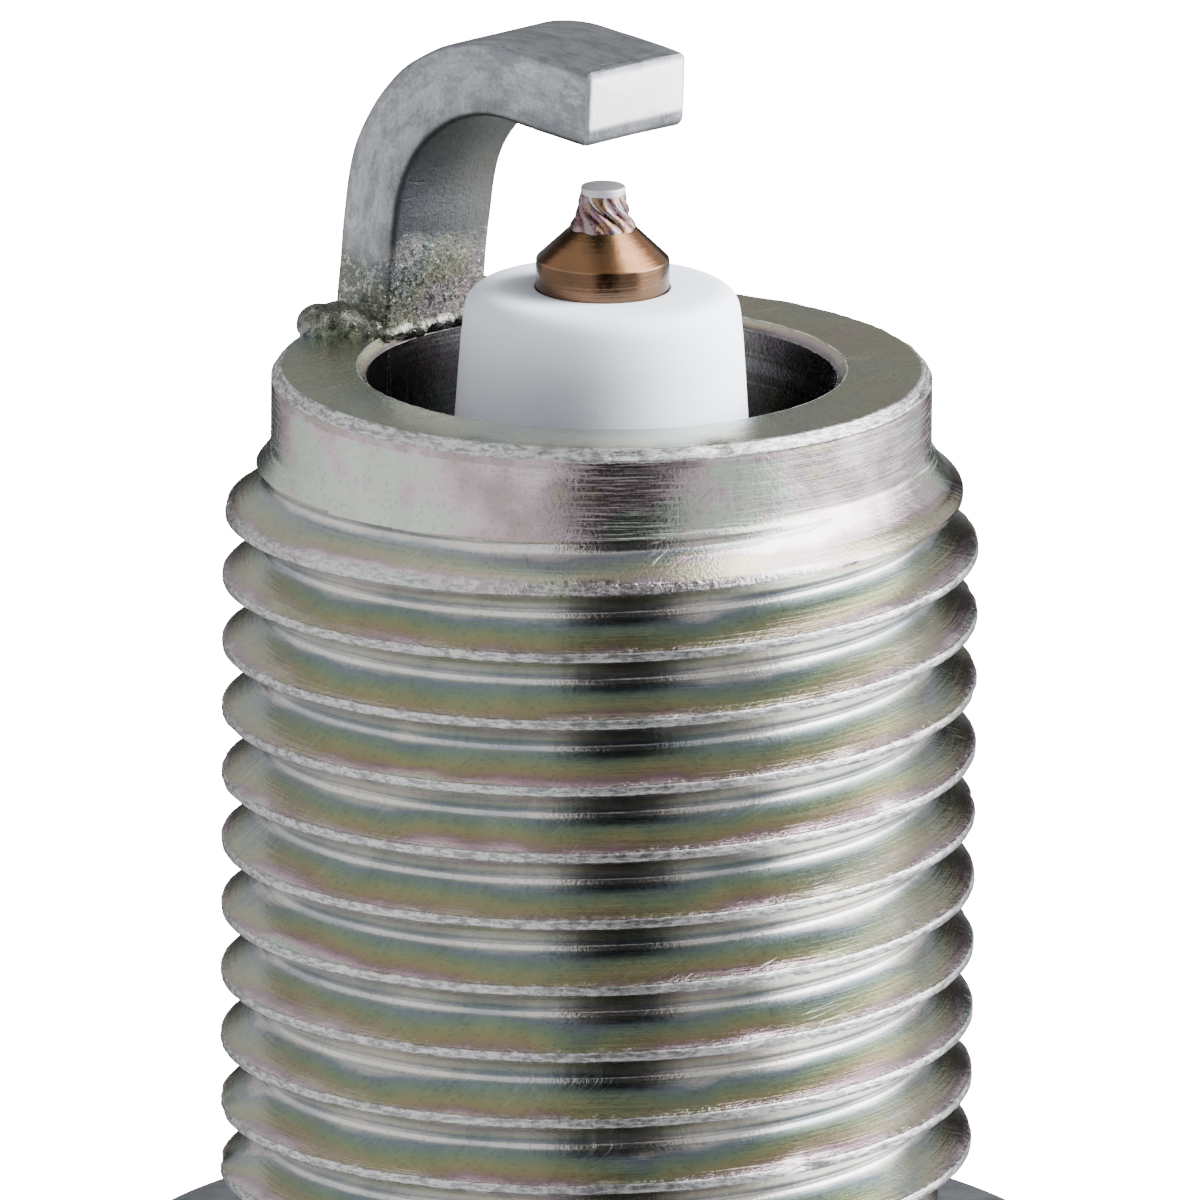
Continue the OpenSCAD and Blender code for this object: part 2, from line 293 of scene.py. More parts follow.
class Outline:
    """Helpers that draw the section of a turned piece."""

    @staticmethod
    def rounded(corners: Sequence[Corner], steps: int = 4) -> list[Corner]:
        """Replaces each corner that has a radius by an arc.

        Args:
            corners: Radius from the axis, height and rounding radius of each corner.
            steps: How many edges each arc has.

        Returns:
            Radius, height and wear of each point; the wear is 1 on an arc that stands proud.
        """
        area = sum(
            a[0] * b[1] - b[0] * a[1] for a, b in zip(corners, [*corners[1:], corners[0]])
        )
        drawn: list[Corner] = []
        for i, (x, z, size) in enumerate(corners):
            here = Vector((x, z))
            back = Vector(corners[i - 1][:2]) - here
            ahead = Vector(corners[(i + 1) % len(corners)][:2]) - here
            if size <= 0.0 or back.length < 1e-6 or ahead.length < 1e-6:
                drawn.append((x, z, 0.0))
                continue
            proud = (ahead.x * -back.y + ahead.y * back.x) * -area > 0.0
            half = back.angle(ahead) / 2
            reach = min(size / math.tan(half), 0.48 * back.length, 0.48 * ahead.length)
            first, last = here + back.normalized() * reach, here + ahead.normalized() * reach
            for step in range(steps + 1):
                t = step / steps
                point = first * (1 - t) ** 2 + here * 2 * t * (1 - t) + last * t**2
                drawn.append((point.x, point.y, 1.0 if proud and 0 < step < steps else 0.0))
        return drawn

    @staticmethod
    def arc(centre: Point, radius: float, start: float, end: float, steps: int) -> list[Corner]:
        """Draws an arc.

        Args:
            centre: Distance from the axis and height of the arc's centre.
            radius: Radius of the arc.
            start: First angle in degrees, from the outward direction.
            end: Last angle in degrees.
            steps: How many edges the arc has.

        Returns:
            The corners of the arc, none of them rounded.
        """
        angles = np.radians(np.linspace(start, end, steps + 1))
        return [
            (centre[0] + radius * math.cos(a), centre[1] + radius * math.sin(a), 0.0) for a in angles
        ]

    @staticmethod
    def divided(outline: Sequence[Corner], longest: float) -> list[Corner]:
        """Adds points along the long edges of a closed outline.

        Args:
            outline: Radius, height and wear of each point.
            longest: No edge of the result is longer than this.

        Returns:
            The outline with the extra points.
        """
        drawn: list[Corner] = []
        for here, ahead in zip(outline, [*outline[1:], outline[0]]):
            pieces = max(1, math.ceil(math.dist(here[:2], ahead[:2]) / longest))
            for step in range(pieces):
                t = step / pieces
                drawn.append(tuple(a + (b - a) * t for a, b in zip(here, ahead)))
        return drawn


class Graph:
    """A shader node tree that is filled one node at a time."""

    def __init__(self, tree: bpy.types.NodeTree) -> None:
        """Takes the tree to fill."""
        self.tree = tree

    def node(
        self, kind: str, feeds: dict[str | int, Feed] | None = None, **settings: object
    ) -> Node:
        """Adds a node.

        Args:
            kind: The node's type.
            feeds: A value or a linked output for each named or numbered input.
            **settings: Values for the node's own properties.

        Returns:
            The new node.
        """
        made = self.tree.nodes.new(kind)
        for key, value in settings.items():
            setattr(made, key, value)
        for key, feed in (feeds or {}).items():
            if isinstance(feed, Socket):
                self.tree.links.new(feed, made.inputs[key])
            else:
                made.inputs[key].default_value = feed
        return made

    def math(self, operation: str, a: Feed, b: Feed = 0.0, clamp: bool = False) -> Socket:
        """Works out one sum of two values and gives its output."""
        made = self.node("ShaderNodeMath", {0: a, 1: b}, operation=operation, use_clamp=clamp)
        return made.outputs[0]

    def times(self, a: Feed, b: Feed, clamp: bool = False) -> Socket:
        """Multiplies two values."""
        return self.math("MULTIPLY", a, b, clamp)

    def plus(self, a: Feed, b: Feed, clamp: bool = False) -> Socket:
        """Adds two values."""
        return self.math("ADD", a, b, clamp)

    def minus(self, a: Feed, b: Feed, clamp: bool = False) -> Socket:
        """Takes the second value from the first."""
        return self.math("SUBTRACT", a, b, clamp)

    def blend(self, share: Feed, a: Feed, b: Feed) -> Socket:
        """Mixes two colours by a share and gives the mixed colour."""
        made = self.node("ShaderNodeMix", {0: share, 6: a, 7: b}, data_type="RGBA", blend_type="MIX")
        return made.outputs[2]

    def spread(
        self, value: Feed, low: float, high: float, to_low: float = 0.0, to_high: float = 1.0
    ) -> Socket:
        """Maps a range of values smoothly onto another and gives the result."""
        feeds = {"Value": value, "From Min": low, "From Max": high, "To Min": to_low, "To Max": to_high}
        made = self.node("ShaderNodeMapRange", feeds, interpolation_type="SMOOTHSTEP")
        return made.outputs["Result"]

    def fade(self, value: Feed, full: float, none: float) -> Socket:
        """Falls smoothly from 1 to 0 between two values."""
        return self.spread(value, full, none, 1.0, 0.0)

    def window(self, value: Feed, start: float, full: float, wane: float, stop: float) -> Socket:
        """Rises from 0 to 1 between the first two values and falls back between the last two."""
        return self.times(self.spread(value, start, full), self.fade(value, wane, stop))

    def noise(self, vector: Feed, scale: Feed, detail: float = 3.0, rough: float = 0.55) -> Socket:
        """Adds a noise pattern and gives its value."""
        feeds = {"Vector": vector, "Scale": scale, "Detail": detail, "Roughness": rough}
        return self.node("ShaderNodeTexNoise", feeds).outputs["Fac"]

    def placed(self, vector: Feed, scale: Corner, turn: Corner = (0.0, 0.0, 0.0)) -> Socket:
        """Scales and turns a position and gives the result."""
        feeds = {"Vector": vector, "Scale": scale, "Rotation": turn}
        return self.node("ShaderNodeMapping", feeds).outputs["Vector"]

    def ramp(self, value: Feed, stops: Sequence[tuple[float, Colour]]) -> Socket:
        """Turns a value into a colour.

        Args:
            value: The value, from 0 to 1.
            stops: Where each colour stands, lowest first.

        Returns:
            The colour output.
        """
        made = self.node("ShaderNodeValToRGB", {0: value})
        bar = made.color_ramp.elements
        while len(bar) < len(stops):
            bar.new(0.5)
        for element, (place, colour) in zip(bar, stops):
            element.position = place
            element.color = colour
        return made.outputs["Color"]

    def position(self) -> Socket:
        """Gives the place on the object, in metres."""
        return self.node("ShaderNodeTexCoord").outputs["Object"]

    def value_of(self, mark: Mark) -> Socket:
        """Gives a value that is stored on the piece's points."""
        return self.node("ShaderNodeAttribute", attribute_name=mark.value).outputs["Fac"]

    def vector_of(self, mark: Mark) -> Socket:
        """Gives a vector that is stored on the piece's points."""
        return self.node("ShaderNodeAttribute", attribute_name=mark.value).outputs["Vector"]


class Effect:
    """Shader node groups that several finishes share, each built once."""

    made: dict[str, bpy.types.NodeTree] = {}

    @classmethod
    def group(
        cls, name: str, inputs: dict[str, tuple[str, object]], outputs: dict[str, str]
    ) -> tuple[Graph, Node, Node]:
        """Starts a node group.

        Args:
            name: The group's name.
            inputs: Socket type and first value of each input.
            outputs: Socket type of each output.

        Returns:
            The group's graph, its input node and its output node.
        """
        tree = bpy.data.node_groups.new(name, "ShaderNodeTree")
        for key, (kind, value) in inputs.items():
            socket = tree.interface.new_socket(name=key, in_out="INPUT", socket_type=kind)
            if value is not None:
                socket.default_value = value
        for key, kind in outputs.items():
            tree.interface.new_socket(name=key, in_out="OUTPUT", socket_type=kind)
        cls.made[name] = tree
        graph = Graph(tree)
        return graph, graph.node("NodeGroupInput"), graph.node("NodeGroupOutput")

    @classmethod
    def place(cls, graph: Graph, name: str, feeds: dict[str, Feed]) -> Node:
        """Places a group in a material.

        Args:
            graph: The material's graph.
            name: The group's name.
            feeds: A value or an output for each input.

        Returns:
            The placed group node.
        """
        made = graph.tree.nodes.new("ShaderNodeGroup")
        made.node_tree = cls.made[name]
        for key, feed in feeds.items():
            if isinstance(feed, Socket):
                graph.tree.links.new(feed, made.inputs[key])
            else:
                made.inputs[key].default_value = feed
        return made

    @classmethod
    def build_grain(cls) -> None:
        """Builds a fine metal or mineral grain with soft blotches."""
        graph, given, out = cls.group(
            "Grain",
            {
                "Vector": ("NodeSocketVector", None),
                "Fine": ("NodeSocketFloat", 9000.0),
                "Broad": ("NodeSocketFloat", 900.0),
            },
            {"Fine": "NodeSocketFloat", "Blotch": "NodeSocketFloat"},
        )
        fine = graph.noise(given.outputs["Vector"], given.outputs["Fine"], 4.0, 0.65)
        broad = graph.noise(given.outputs["Vector"], given.outputs["Broad"], 3.0, 0.5)
        graph.tree.links.new(graph.spread(fine, 0.3, 0.7), out.inputs["Fine"])
        graph.tree.links.new(graph.spread(broad, 0.33, 0.67), out.inputs["Blotch"])

    @classmethod
    def build_lathe_lines(cls) -> None:
        """Builds fine tool lines that run round the Z axis on cylinders and faces alike."""
        graph, given, out = cls.group(
            "Lathe lines",
            {"Vector": ("NodeSocketVector", None), "Lines": ("NodeSocketFloat", 9000.0)},
            {"Lines": "NodeSocketFloat"},
        )
        split = graph.node("ShaderNodeSeparateXYZ", {0: given.outputs["Vector"]})
        across, over = split.outputs["X"], split.outputs["Y"]
        square = graph.plus(graph.times(across, across), graph.times(over, over))
        reach = graph.math("SQRT", square)
        drift = graph.noise(given.outputs["Vector"], 320.0, 2.0, 0.5)
        along = graph.plus(split.outputs["Z"], graph.times(drift, 0.00009))
        flat = graph.node("ShaderNodeCombineXYZ", {0: reach, 1: 0.0, 2: along})
        lines = graph.noise(flat.outputs[0], given.outputs["Lines"], 2.0, 0.7)
        graph.tree.links.new(graph.spread(lines, 0.3, 0.7), out.inputs["Lines"])

    @classmethod
    def build_scratches(cls) -> None:
        """Builds thin handling scratches in three directions."""
        graph, given, out = cls.group(
            "Scratches",
            {"Vector": ("NodeSocketVector", None), "Scale": ("NodeSocketFloat", 500.0)},
            {"Mask": "NodeSocketFloat"},
        )
        total: Feed = 0.0
        for tilt, stretch in ((0.5, 0.05), (-0.9, 0.07), (1.9, 0.045)):
            scale, turn = (1.0, stretch, stretch * 1.7), (tilt, tilt * 0.6, tilt)
            laid = graph.placed(given.outputs["Vector"], scale, turn)
            hair = graph.noise(laid, graph.times(given.outputs["Scale"], 6.0), 1.0, 0.5)
            near = graph.math("ABSOLUTE", graph.minus(hair, 0.5))
            line = graph.fade(near, 0.0, 0.012)
            gate = graph.spread(graph.noise(given.outputs["Vector"], given.outputs["Scale"], 2.0), 0.52, 0.62)
            total = graph.math("MAXIMUM", total, graph.times(line, gate))
        graph.tree.links.new(total, out.inputs["Mask"])

    @classmethod
    def build_edge_wear(cls) -> None:
        """Builds a broken-up mask from the wear stored on a piece's edges."""
        graph, given, out = cls.group(
            "Edge wear",
            {
                "Vector": ("NodeSocketVector", None),
                "Wear": ("NodeSocketFloat", 0.0),
                "Scale": ("NodeSocketFloat", 3500.0),
            },
            {"Mask": "NodeSocketFloat"},
        )
        broken = graph.noise(given.outputs["Vector"], given.outputs["Scale"], 4.0, 0.7)
        pushed = graph.plus(given.outputs["Wear"], graph.minus(broken, 0.5))
        graph.tree.links.new(graph.spread(pushed, 0.3, 0.75), out.inputs["Mask"])

    @classmethod
    def build_film(cls) -> None:
        """Builds the interference colours of a thin clear film, from its thickness."""
        graph, given, out = cls.group(
            "Film",
            {
                "Vector": ("NodeSocketVector", None),
                "Thickness": ("NodeSocketFloat", 0.5),
                "Drift": ("NodeSocketFloat", 0.2),
            },
            {"Color": "NodeSocketColor"},
        )
        cloud = graph.noise(given.outputs["Vector"], 330.0, 3.0, 0.55)
        push = graph.times(graph.minus(cloud, 0.5), given.outputs["Drift"])
        thick = graph.plus(given.outputs["Thickness"], push, clamp=True)
        stops = [
            (0.00, (0.70, 0.80, 0.70, 1.0)),
            (0.11, (0.80, 0.64, 0.70, 1.0)),
            (0.25, (0.50, 0.40, 0.43, 1.0)),
            (0.37, (0.53, 0.48, 0.35, 1.0)),
            (0.50, (0.50, 0.52, 0.38, 1.0)),
            (0.63, (0.42, 0.49, 0.42, 1.0)),
            (0.735, (0.41, 0.45, 0.50, 1.0)),
            (0.79, (0.84, 0.80, 0.77, 1.0)),
        ]
        graph.tree.links.new(graph.ramp(thick, stops), out.inputs["Color"])

    @classmethod
    def build_specks(cls) -> None:
        """Builds small separate specks, such as spatter, pits and mineral grains."""
        graph, given, out = cls.group(
            "Specks",
            {
                "Vector": ("NodeSocketVector", None),
                "Scale": ("NodeSocketFloat", 4000.0),
                "Share": ("NodeSocketFloat", 0.3),
            },
            {"Mask": "NodeSocketFloat"},
        )
        feeds = {"Vector": given.outputs["Vector"], "Scale": given.outputs["Scale"]}
        cell = graph.node("ShaderNodeTexVoronoi", feeds)
        chosen = graph.node("ShaderNodeSeparateColor", {0: cell.outputs["Color"]})
        size = graph.times(given.outputs["Share"], chosen.outputs[0])
        inside = graph.minus(size, cell.outputs["Distance"])
        graph.tree.links.new(graph.spread(inside, 0.0, 0.08), out.inputs["Mask"])

    @classmethod
    def build_all(cls) -> None:
        """Builds every shared group."""
        cls.build_grain()
        cls.build_lathe_lines()
        cls.build_scratches()
        cls.build_edge_wear()
        cls.build_film()
        cls.build_specks()


@dataclass(frozen=True)
class Finish:
    """What every finish has: a name and a way to start its material."""

    name: str

    def start(self) -> tuple[bpy.types.Material, Graph, Node]:
        """Starts a node material.

        Returns:
            The material, its graph and its Principled shader.
        """
        made = bpy.data.materials.new(self.name)
        made.use_nodes = True
        return made, Graph(made.node_tree), made.node_tree.nodes["Principled BSDF"]

    @staticmethod
    def join(graph: Graph, shader: Node, feeds: dict[str, Feed]) -> None:
        """Sets or links inputs of the Principled shader.

        Args:
            graph: The material's graph.
            shader: The Principled shader.
            feeds: A value or an output for each input.
        """
        for key, feed in feeds.items():
            if isinstance(feed, Socket):
                graph.tree.links.new(feed, shader.inputs[key])
            else:
                shader.inputs[key].default_value = feed

    @staticmethod
    def rubbed_edges(graph: Graph, place: Socket, scale: float) -> Node:
        """Places the edge wear group on the wear stored on the piece."""
        feeds = {"Vector": place, "Wear": graph.value_of(Mark.WEAR), "Scale": scale}
        return Effect.place(graph, "Edge wear", feeds)

    def dress(
        self, graph: Graph, shader: Node, colour: Feed, rough: Feed, normal: Feed, metal: Feed = 1.0
    ) -> None:
        """Joins the four inputs that every metal finish sets."""
        feeds = {"Base Color": colour, "Metallic": metal, "Roughness": rough, "Normal": normal}
        self.join(graph, shader, feeds)

    @staticmethod
    def bump(graph: Graph, height: Feed, depth: float) -> Socket:
        """Turns a height pattern into surface normals and gives them."""
        feeds = {"Height": height, "Distance": depth, "Strength": 1.0}
        return graph.node("ShaderNodeBump", feeds).outputs["Normal"]


@dataclass(frozen=True)
class PlatedFinish(Finish):
    """Bright plating under an iridescent film, rubbed at the edges and the thread's crests, with painted
    shade down the bore.
    """

    worn: Colour = (0.90, 0.91, 0.92, 1.0)
    scuffed: Colour = (0.34, 0.35, 0.37, 1.0)
    dark: Colour = (0.10, 0.10, 0.10, 1.0)
    end_z: float = 17.1

    def build(self) -> bpy.types.Material:
        """Builds the material.

        Returns:
            The plated material.
        """
        made, graph, shader = self.start()
        place = graph.position()
        wear = graph.value_of(Mark.WEAR)
        depth = graph.value_of(Mark.DEPTH)
        side = graph.value_of(Mark.SIDE)
        grain = Effect.place(graph, "Grain", {"Vector": place, "Fine": 16000.0, "Broad": 1300.0})
        lines = Effect.place(graph, "Lathe lines", {"Vector": place, "Lines": 11000.0})
        marks = Effect.place(graph, "Scratches", {"Vector": place, "Scale": 420.0})
        rubbed = Effect.place(graph, "Edge wear", {"Vector": place, "Wear": wear, "Scale": 6500.0})
        thick = graph.plus(graph.times(depth, 0.62), graph.times(side, 0.05))
        split = graph.node("ShaderNodeSeparateXYZ", {0: place})
        thick = graph.plus(thick, graph.spread(split.outputs["Z"], -2.0 * MM, -0.5 * MM, 0.05, 0.17))
        broad = graph.spread(split.outputs["Z"], -2.0 * MM, -0.5 * MM, 0.45, 1.0)
        drift = graph.times(graph.minus(1.7, graph.times(depth, 1.4)), broad)
        film = Effect.place(graph, "Film", {"Vector": place, "Thickness": thick, "Drift": drift})
        mask = rubbed.outputs["Mask"]
        fleck = graph.noise(graph.placed(place, (0.28, 0.28, 1.0)), 15000.0, 3.0, 0.75)
        across = graph.node("ShaderNodeCombineXYZ", {0: split.outputs["X"], 1: split.outputs["Y"]})
        reach = graph.node("ShaderNodeVectorMath", {0: across.outputs[0]}, operation="LENGTH")
        # Painted shade down the bore: this mask darkens the bore wall towards near-black.
        inside = graph.spread(reach.outputs["Value"], 4.32 * MM, 4.42 * MM, 0.72, 0.0)
        face = graph.spread(split.outputs["Z"], (self.end_z - 0.06) * MM, (self.end_z - 0.03) * MM)
        hair = graph.noise(graph.placed(place, (0.025, 0.025, 1.0)), 34000.0, 4.0, 0.7)
        streak = graph.spread(hair, 0.46, 0.64)
        pilot = graph.spread(split.outputs["Z"], (self.end_z - 1.72) * MM, (self.end_z - 1.6) * MM, 0.2, 1.0)
        outer = graph.spread(reach.outputs["Value"], 5.6 * MM, 5.9 * MM)
        streak = graph.times(graph.times(streak, pilot), outer)
        streak = graph.times(streak, graph.minus(1.0, face))
        scuff = graph.blend(graph.spread(fleck, 0.40, 0.58), self.scuffed, self.worn)
        colour = graph.blend(graph.times(mask, 0.85), film.outputs["Color"], scuff)
        colour = graph.blend(graph.times(streak, 0.14), colour, self.worn)
        pits = Effect.place(graph, "Specks", {"Vector": place, "Scale": 9000.0, "Share": 0.55})
        pitted = graph.times(pits.outputs["Mask"], 0.16)
        colour = graph.blend(graph.times(grain.outputs["Blotch"], 0.10), colour, self.dark)
        colour = graph.blend(pitted, colour, self.dark)
        colour = graph.blend(graph.times(marks.outputs["Mask"], 0.15), colour, self.worn)
        # Painted shade: the bore wall is blended towards near-black.
        colour = graph.blend(inside, colour, (0.07, 0.075, 0.07, 1.0))
        ring = graph.noise(graph.placed(place, (0.02, 0.02, 1.0)), 5200.0, 2.0, 0.6)
        cuts = graph.times(inside, graph.spread(ring, 0.5, 0.62))
        colour = graph.blend(graph.times(cuts, 0.2), colour, self.worn)
        rough = graph.plus(0.075, graph.times(grain.outputs["Fine"], 0.06))
        rough = graph.plus(rough, graph.times(mask, 0.2))
        rough = graph.plus(rough, graph.times(streak, 0.32))
        rough = graph.plus(rough, graph.times(face, 0.14))
        rough = graph.plus(rough, graph.times(inside, 0.12))
        rough = graph.plus(rough, graph.times(marks.outputs["Mask"], 0.08))
        height = graph.times(grain.outputs["Fine"], 0.3)
        height = graph.plus(height, graph.times(lines.outputs["Lines"], 0.35))
        height = graph.minus(height, graph.times(marks.outputs["Mask"], 0.25))
        rugged = graph.times(fleck, graph.times(mask, 3.2))
        normal = self.bump(graph, graph.plus(height, rugged), 0.000006)
        self.dress(graph, shader, colour, rough, normal)
        return made


@dataclass(frozen=True)
class BlastedFinish(Finish):
    """Matte blasted alloy with a drawn grain, painted shade inside the bend and on the outer face, stained
    near the weld.
    """

    base: Colour = (0.66, 0.68, 0.73, 1.0)
    dark: Colour = (0.17, 0.18, 0.205, 1.0)
    rubbed: Colour = (0.82, 0.83, 0.86, 1.0)
    inner_shade: Colour = (0.085, 0.09, 0.098, 1.0)
    fresh: Colour = (0.95, 0.95, 0.96, 1.0)
    foot_z: float = 17.1
    arm: float = 2.1
    half: float = 1.3
    thick: float = 1.42

    def build(self) -> bpy.types.Material:
        """Builds the material.

        Returns:
            The blasted material.
        """
        made, graph, shader = self.start()
        place = graph.position()
        run = graph.vector_of(Mark.RUN)
        laid = graph.node("ShaderNodeSeparateXYZ", {0: run})
        grain = Effect.place(graph, "Grain", {"Vector": run, "Fine": 13000.0, "Broad": 1100.0})
        drawn = graph.noise(graph.placed(run, (0.09, 1.0, 1.0)), 7000.0, 4.0, 0.65)
        drawn = graph.spread(drawn, 0.36, 0.66)
        rub = self.rubbed_edges(graph, place, 3000.0)
        marks = Effect.place(graph, "Scratches", {"Vector": place, "Scale": 380.0})
        split = graph.node("ShaderNodeSeparateXYZ", {0: place})
        ragged = graph.times(graph.noise(place, 900.0, 4.0, 0.7), 1.6 * MM)
        height_z = graph.plus(split.outputs["Z"], ragged)
        low = graph.fade(height_z, (self.foot_z + 2.0) * MM, (self.foot_z + 2.6) * MM)
        specks = graph.spread(graph.noise(place, 9000.0, 4.0, 0.7), 0.42, 0.54)
        glints = graph.times(graph.spread(graph.noise(place, 12000.0, 3.0, 0.7), 0.60, 0.65), low)
        film = Effect.place(graph, "Film", {"Vector": place, "Thickness": 0.36, "Drift": 2.6})
        aside = graph.math("ABSOLUTE", laid.outputs["Y"])
        deep = laid.outputs["Z"]
        cut = graph.fade(laid.outputs["X"], (0.03 - self.arm) * MM, (0.12 - self.arm) * MM)
        low_edge = self.thick - 0.40
        level = graph.window(deep, 0.06 * MM, 0.18 * MM, low_edge * MM, (self.thick - 0.26) * MM)
        level = graph.times(level, graph.fade(aside, (self.half - 0.16) * MM, (self.half - 0.05) * MM))
        upper = graph.fade(deep, 0.04 * MM, 0.14 * MM)
        middle = graph.spread(aside, (self.half - 0.45) * MM, (self.half - 0.1) * MM, 1.0, 0.35)
        inner = graph.spread(deep, (self.thick - 0.16) * MM, (self.thick - 0.04) * MM)
        colour = graph.blend(graph.times(grain.outputs["Blotch"], 0.26), self.base, self.dark)
        colour = graph.blend(graph.times(drawn, 0.26), colour, self.dark)
        colour = graph.blend(graph.times(grain.outputs["Fine"], 0.34), colour, self.dark)
        mottle = graph.spread(graph.noise(graph.placed(run, (0.5, 1.0, 1.0)), 2600.0, 6.0, 0.78), 0.44, 0.60)
        colour = graph.blend(graph.times(mottle, 0.56), colour, self.dark)
        # Painted shade: the strap's outer face is darkened, most in its middle.
        colour = graph.blend(graph.times(graph.times(upper, middle), 0.2), colour, self.dark)
        shaded = graph.spread(deep, (self.thick - 0.62) * MM, (self.thick - 0.08) * MM, 0.0, 0.62)
        shaded = graph.plus(shaded, graph.spread(deep, 0.0, 0.26 * MM, 0.4, 0.0))
        shaded = graph.times(shaded, graph.spread(mottle, 0.0, 1.0, 0.7, 1.0))
        colour = graph.blend(shaded, colour, self.dark)
        elsewhere = graph.minus(0.45, graph.times(cut, 0.45))
        edge = graph.times(rub.outputs["Mask"], elsewhere)
        colour = graph.blend(edge, colour, self.dark)
        rubbed = graph.times(rub.outputs["Mask"], graph.times(cut, 0.5))
        colour = graph.blend(rubbed, colour, self.rubbed)
        colour = graph.blend(graph.times(marks.outputs["Mask"], 0.25), colour, self.rubbed)
        # Painted shade: the inner face, inside the bend, is blended almost to black.
        colour = graph.blend(graph.times(inner, 0.92), colour, self.inner_shade)
        patchy = graph.minus(level, graph.times(grain.outputs["Blotch"], 0.12))
        bare = graph.times(cut, patchy, clamp=True)
        colour = graph.blend(bare, colour, self.fresh)
        colour = graph.blend(graph.times(low, 0.5), colour, film.outputs["Color"])
        spatter = graph.times(specks, low)
        colour = graph.blend(graph.times(spatter, 0.66), colour, (0.06, 0.075, 0.06, 1.0))
        # Painted highlights: small white glints on the low part of the strap near the weld, in the rubbed
        # colour.
        colour = graph.blend(graph.times(glints, 0.85), colour, self.rubbed)
        rough = graph.plus(0.32, graph.times(grain.outputs["Fine"], 0.12))
        rough = graph.minus(rough, graph.times(low, 0.14))
        rough = graph.plus(rough, graph.times(cut, 0.1))
        height = graph.plus(graph.times(drawn, 0.25), graph.times(grain.outputs["Fine"], 0.6))
        height = graph.minus(height, graph.times(marks.outputs["Mask"], 0.6))
        height = graph.plus(height, graph.times(spatter, 3.0))
        normal = self.bump(graph, height, 0.000006)
        metal = graph.minus(0.95, graph.times(bare, 0.5))
        self.dress(graph, shader, colour, rough, normal, metal)
        return made


@dataclass(frozen=True)
class FlashFinish(Finish):
    """Once-molten metal thrown out of a weld, glossy with coloured skins and dark scale."""

    base: Colour = (0.62, 0.64, 0.56, 1.0)
    dark: Colour = (0.055, 0.065, 0.055, 1.0)

    def build(self) -> bpy.types.Material:
        """Builds the material.

        Returns:
            The weld flash material.
        """
        made, graph, shader = self.start()
        place = graph.position()
        grain = Effect.place(graph, "Grain", {"Vector": place, "Fine": 9000.0, "Broad": 2600.0})
        specks = Effect.place(graph, "Specks", {"Vector": place, "Scale": 6200.0, "Share": 0.7})
        film = Effect.place(graph, "Film", {"Vector": place, "Thickness": 0.36, "Drift": 1.4})
        colour = graph.blend(0.45, self.base, film.outputs["Color"])
        colour = graph.blend(graph.times(grain.outputs["Blotch"], 0.72), colour, self.dark)
        colour = graph.blend(graph.times(specks.outputs["Mask"], 0.55), colour, self.dark)
        rough = graph.plus(0.12, graph.times(grain.outputs["Fine"], 0.2))
        height = graph.plus(grain.outputs["Blotch"], graph.times(grain.outputs["Fine"], 0.5))
        height = graph.plus(height, graph.times(specks.outputs["Mask"], 0.5))
        normal = self.bump(graph, height, 0.000025)
        self.dress(graph, shader, colour, rough, normal)
        return made


@dataclass(frozen=True)
class CeramicFinish(Finish):
    """Sintered alumina: dry and matte at the nose, glazed behind the shell."""

    base: Colour = (0.81, 0.85, 0.96, 1.0)
    shade: Colour = (0.68, 0.73, 0.85, 1.0)
    glaze_z: float = -18.0

    def build(self) -> bpy.types.Material:
        """Builds the material.

        Returns:
            The ceramic material.
        """
        made, graph, shader = self.start()
        place = graph.position()
        grain = Effect.place(graph, "Grain", {"Vector": place, "Fine": 12000.0, "Broad": 850.0})
        specks = Effect.place(graph, "Specks", {"Vector": place, "Scale": 2600.0, "Share": 0.22})
        split = graph.node("ShaderNodeSeparateXYZ", {0: place})
        glazed = graph.fade(split.outputs["Z"], (self.glaze_z - 0.2) * MM, (self.glaze_z + 0.2) * MM)
        colour = graph.blend(graph.times(grain.outputs["Blotch"], 0.22), self.base, self.shade)
        colour = graph.blend(graph.times(grain.outputs["Fine"], 0.05), colour, self.shade)
        colour = graph.blend(graph.times(specks.outputs["Mask"], 0.12), colour, (0.45, 0.46, 0.48, 1.0))
        rough = graph.plus(0.52, graph.times(grain.outputs["Fine"], 0.12))
        rough = graph.minus(rough, graph.times(glazed, 0.4))
        normal = self.bump(graph, grain.outputs["Fine"], 0.000001)
        feeds = {
            "Base Color": colour,
            "Roughness": rough,
            "Normal": normal,
            "Coat Weight": graph.times(glazed, 0.8),
            "Coat Roughness": 0.04,
            "Subsurface Weight": 0.15,
            "Subsurface Radius": (0.0006, 0.0006, 0.0006),
            "Subsurface Scale": 1.0,
        }
        self.join(graph, shader, feeds)
        return made


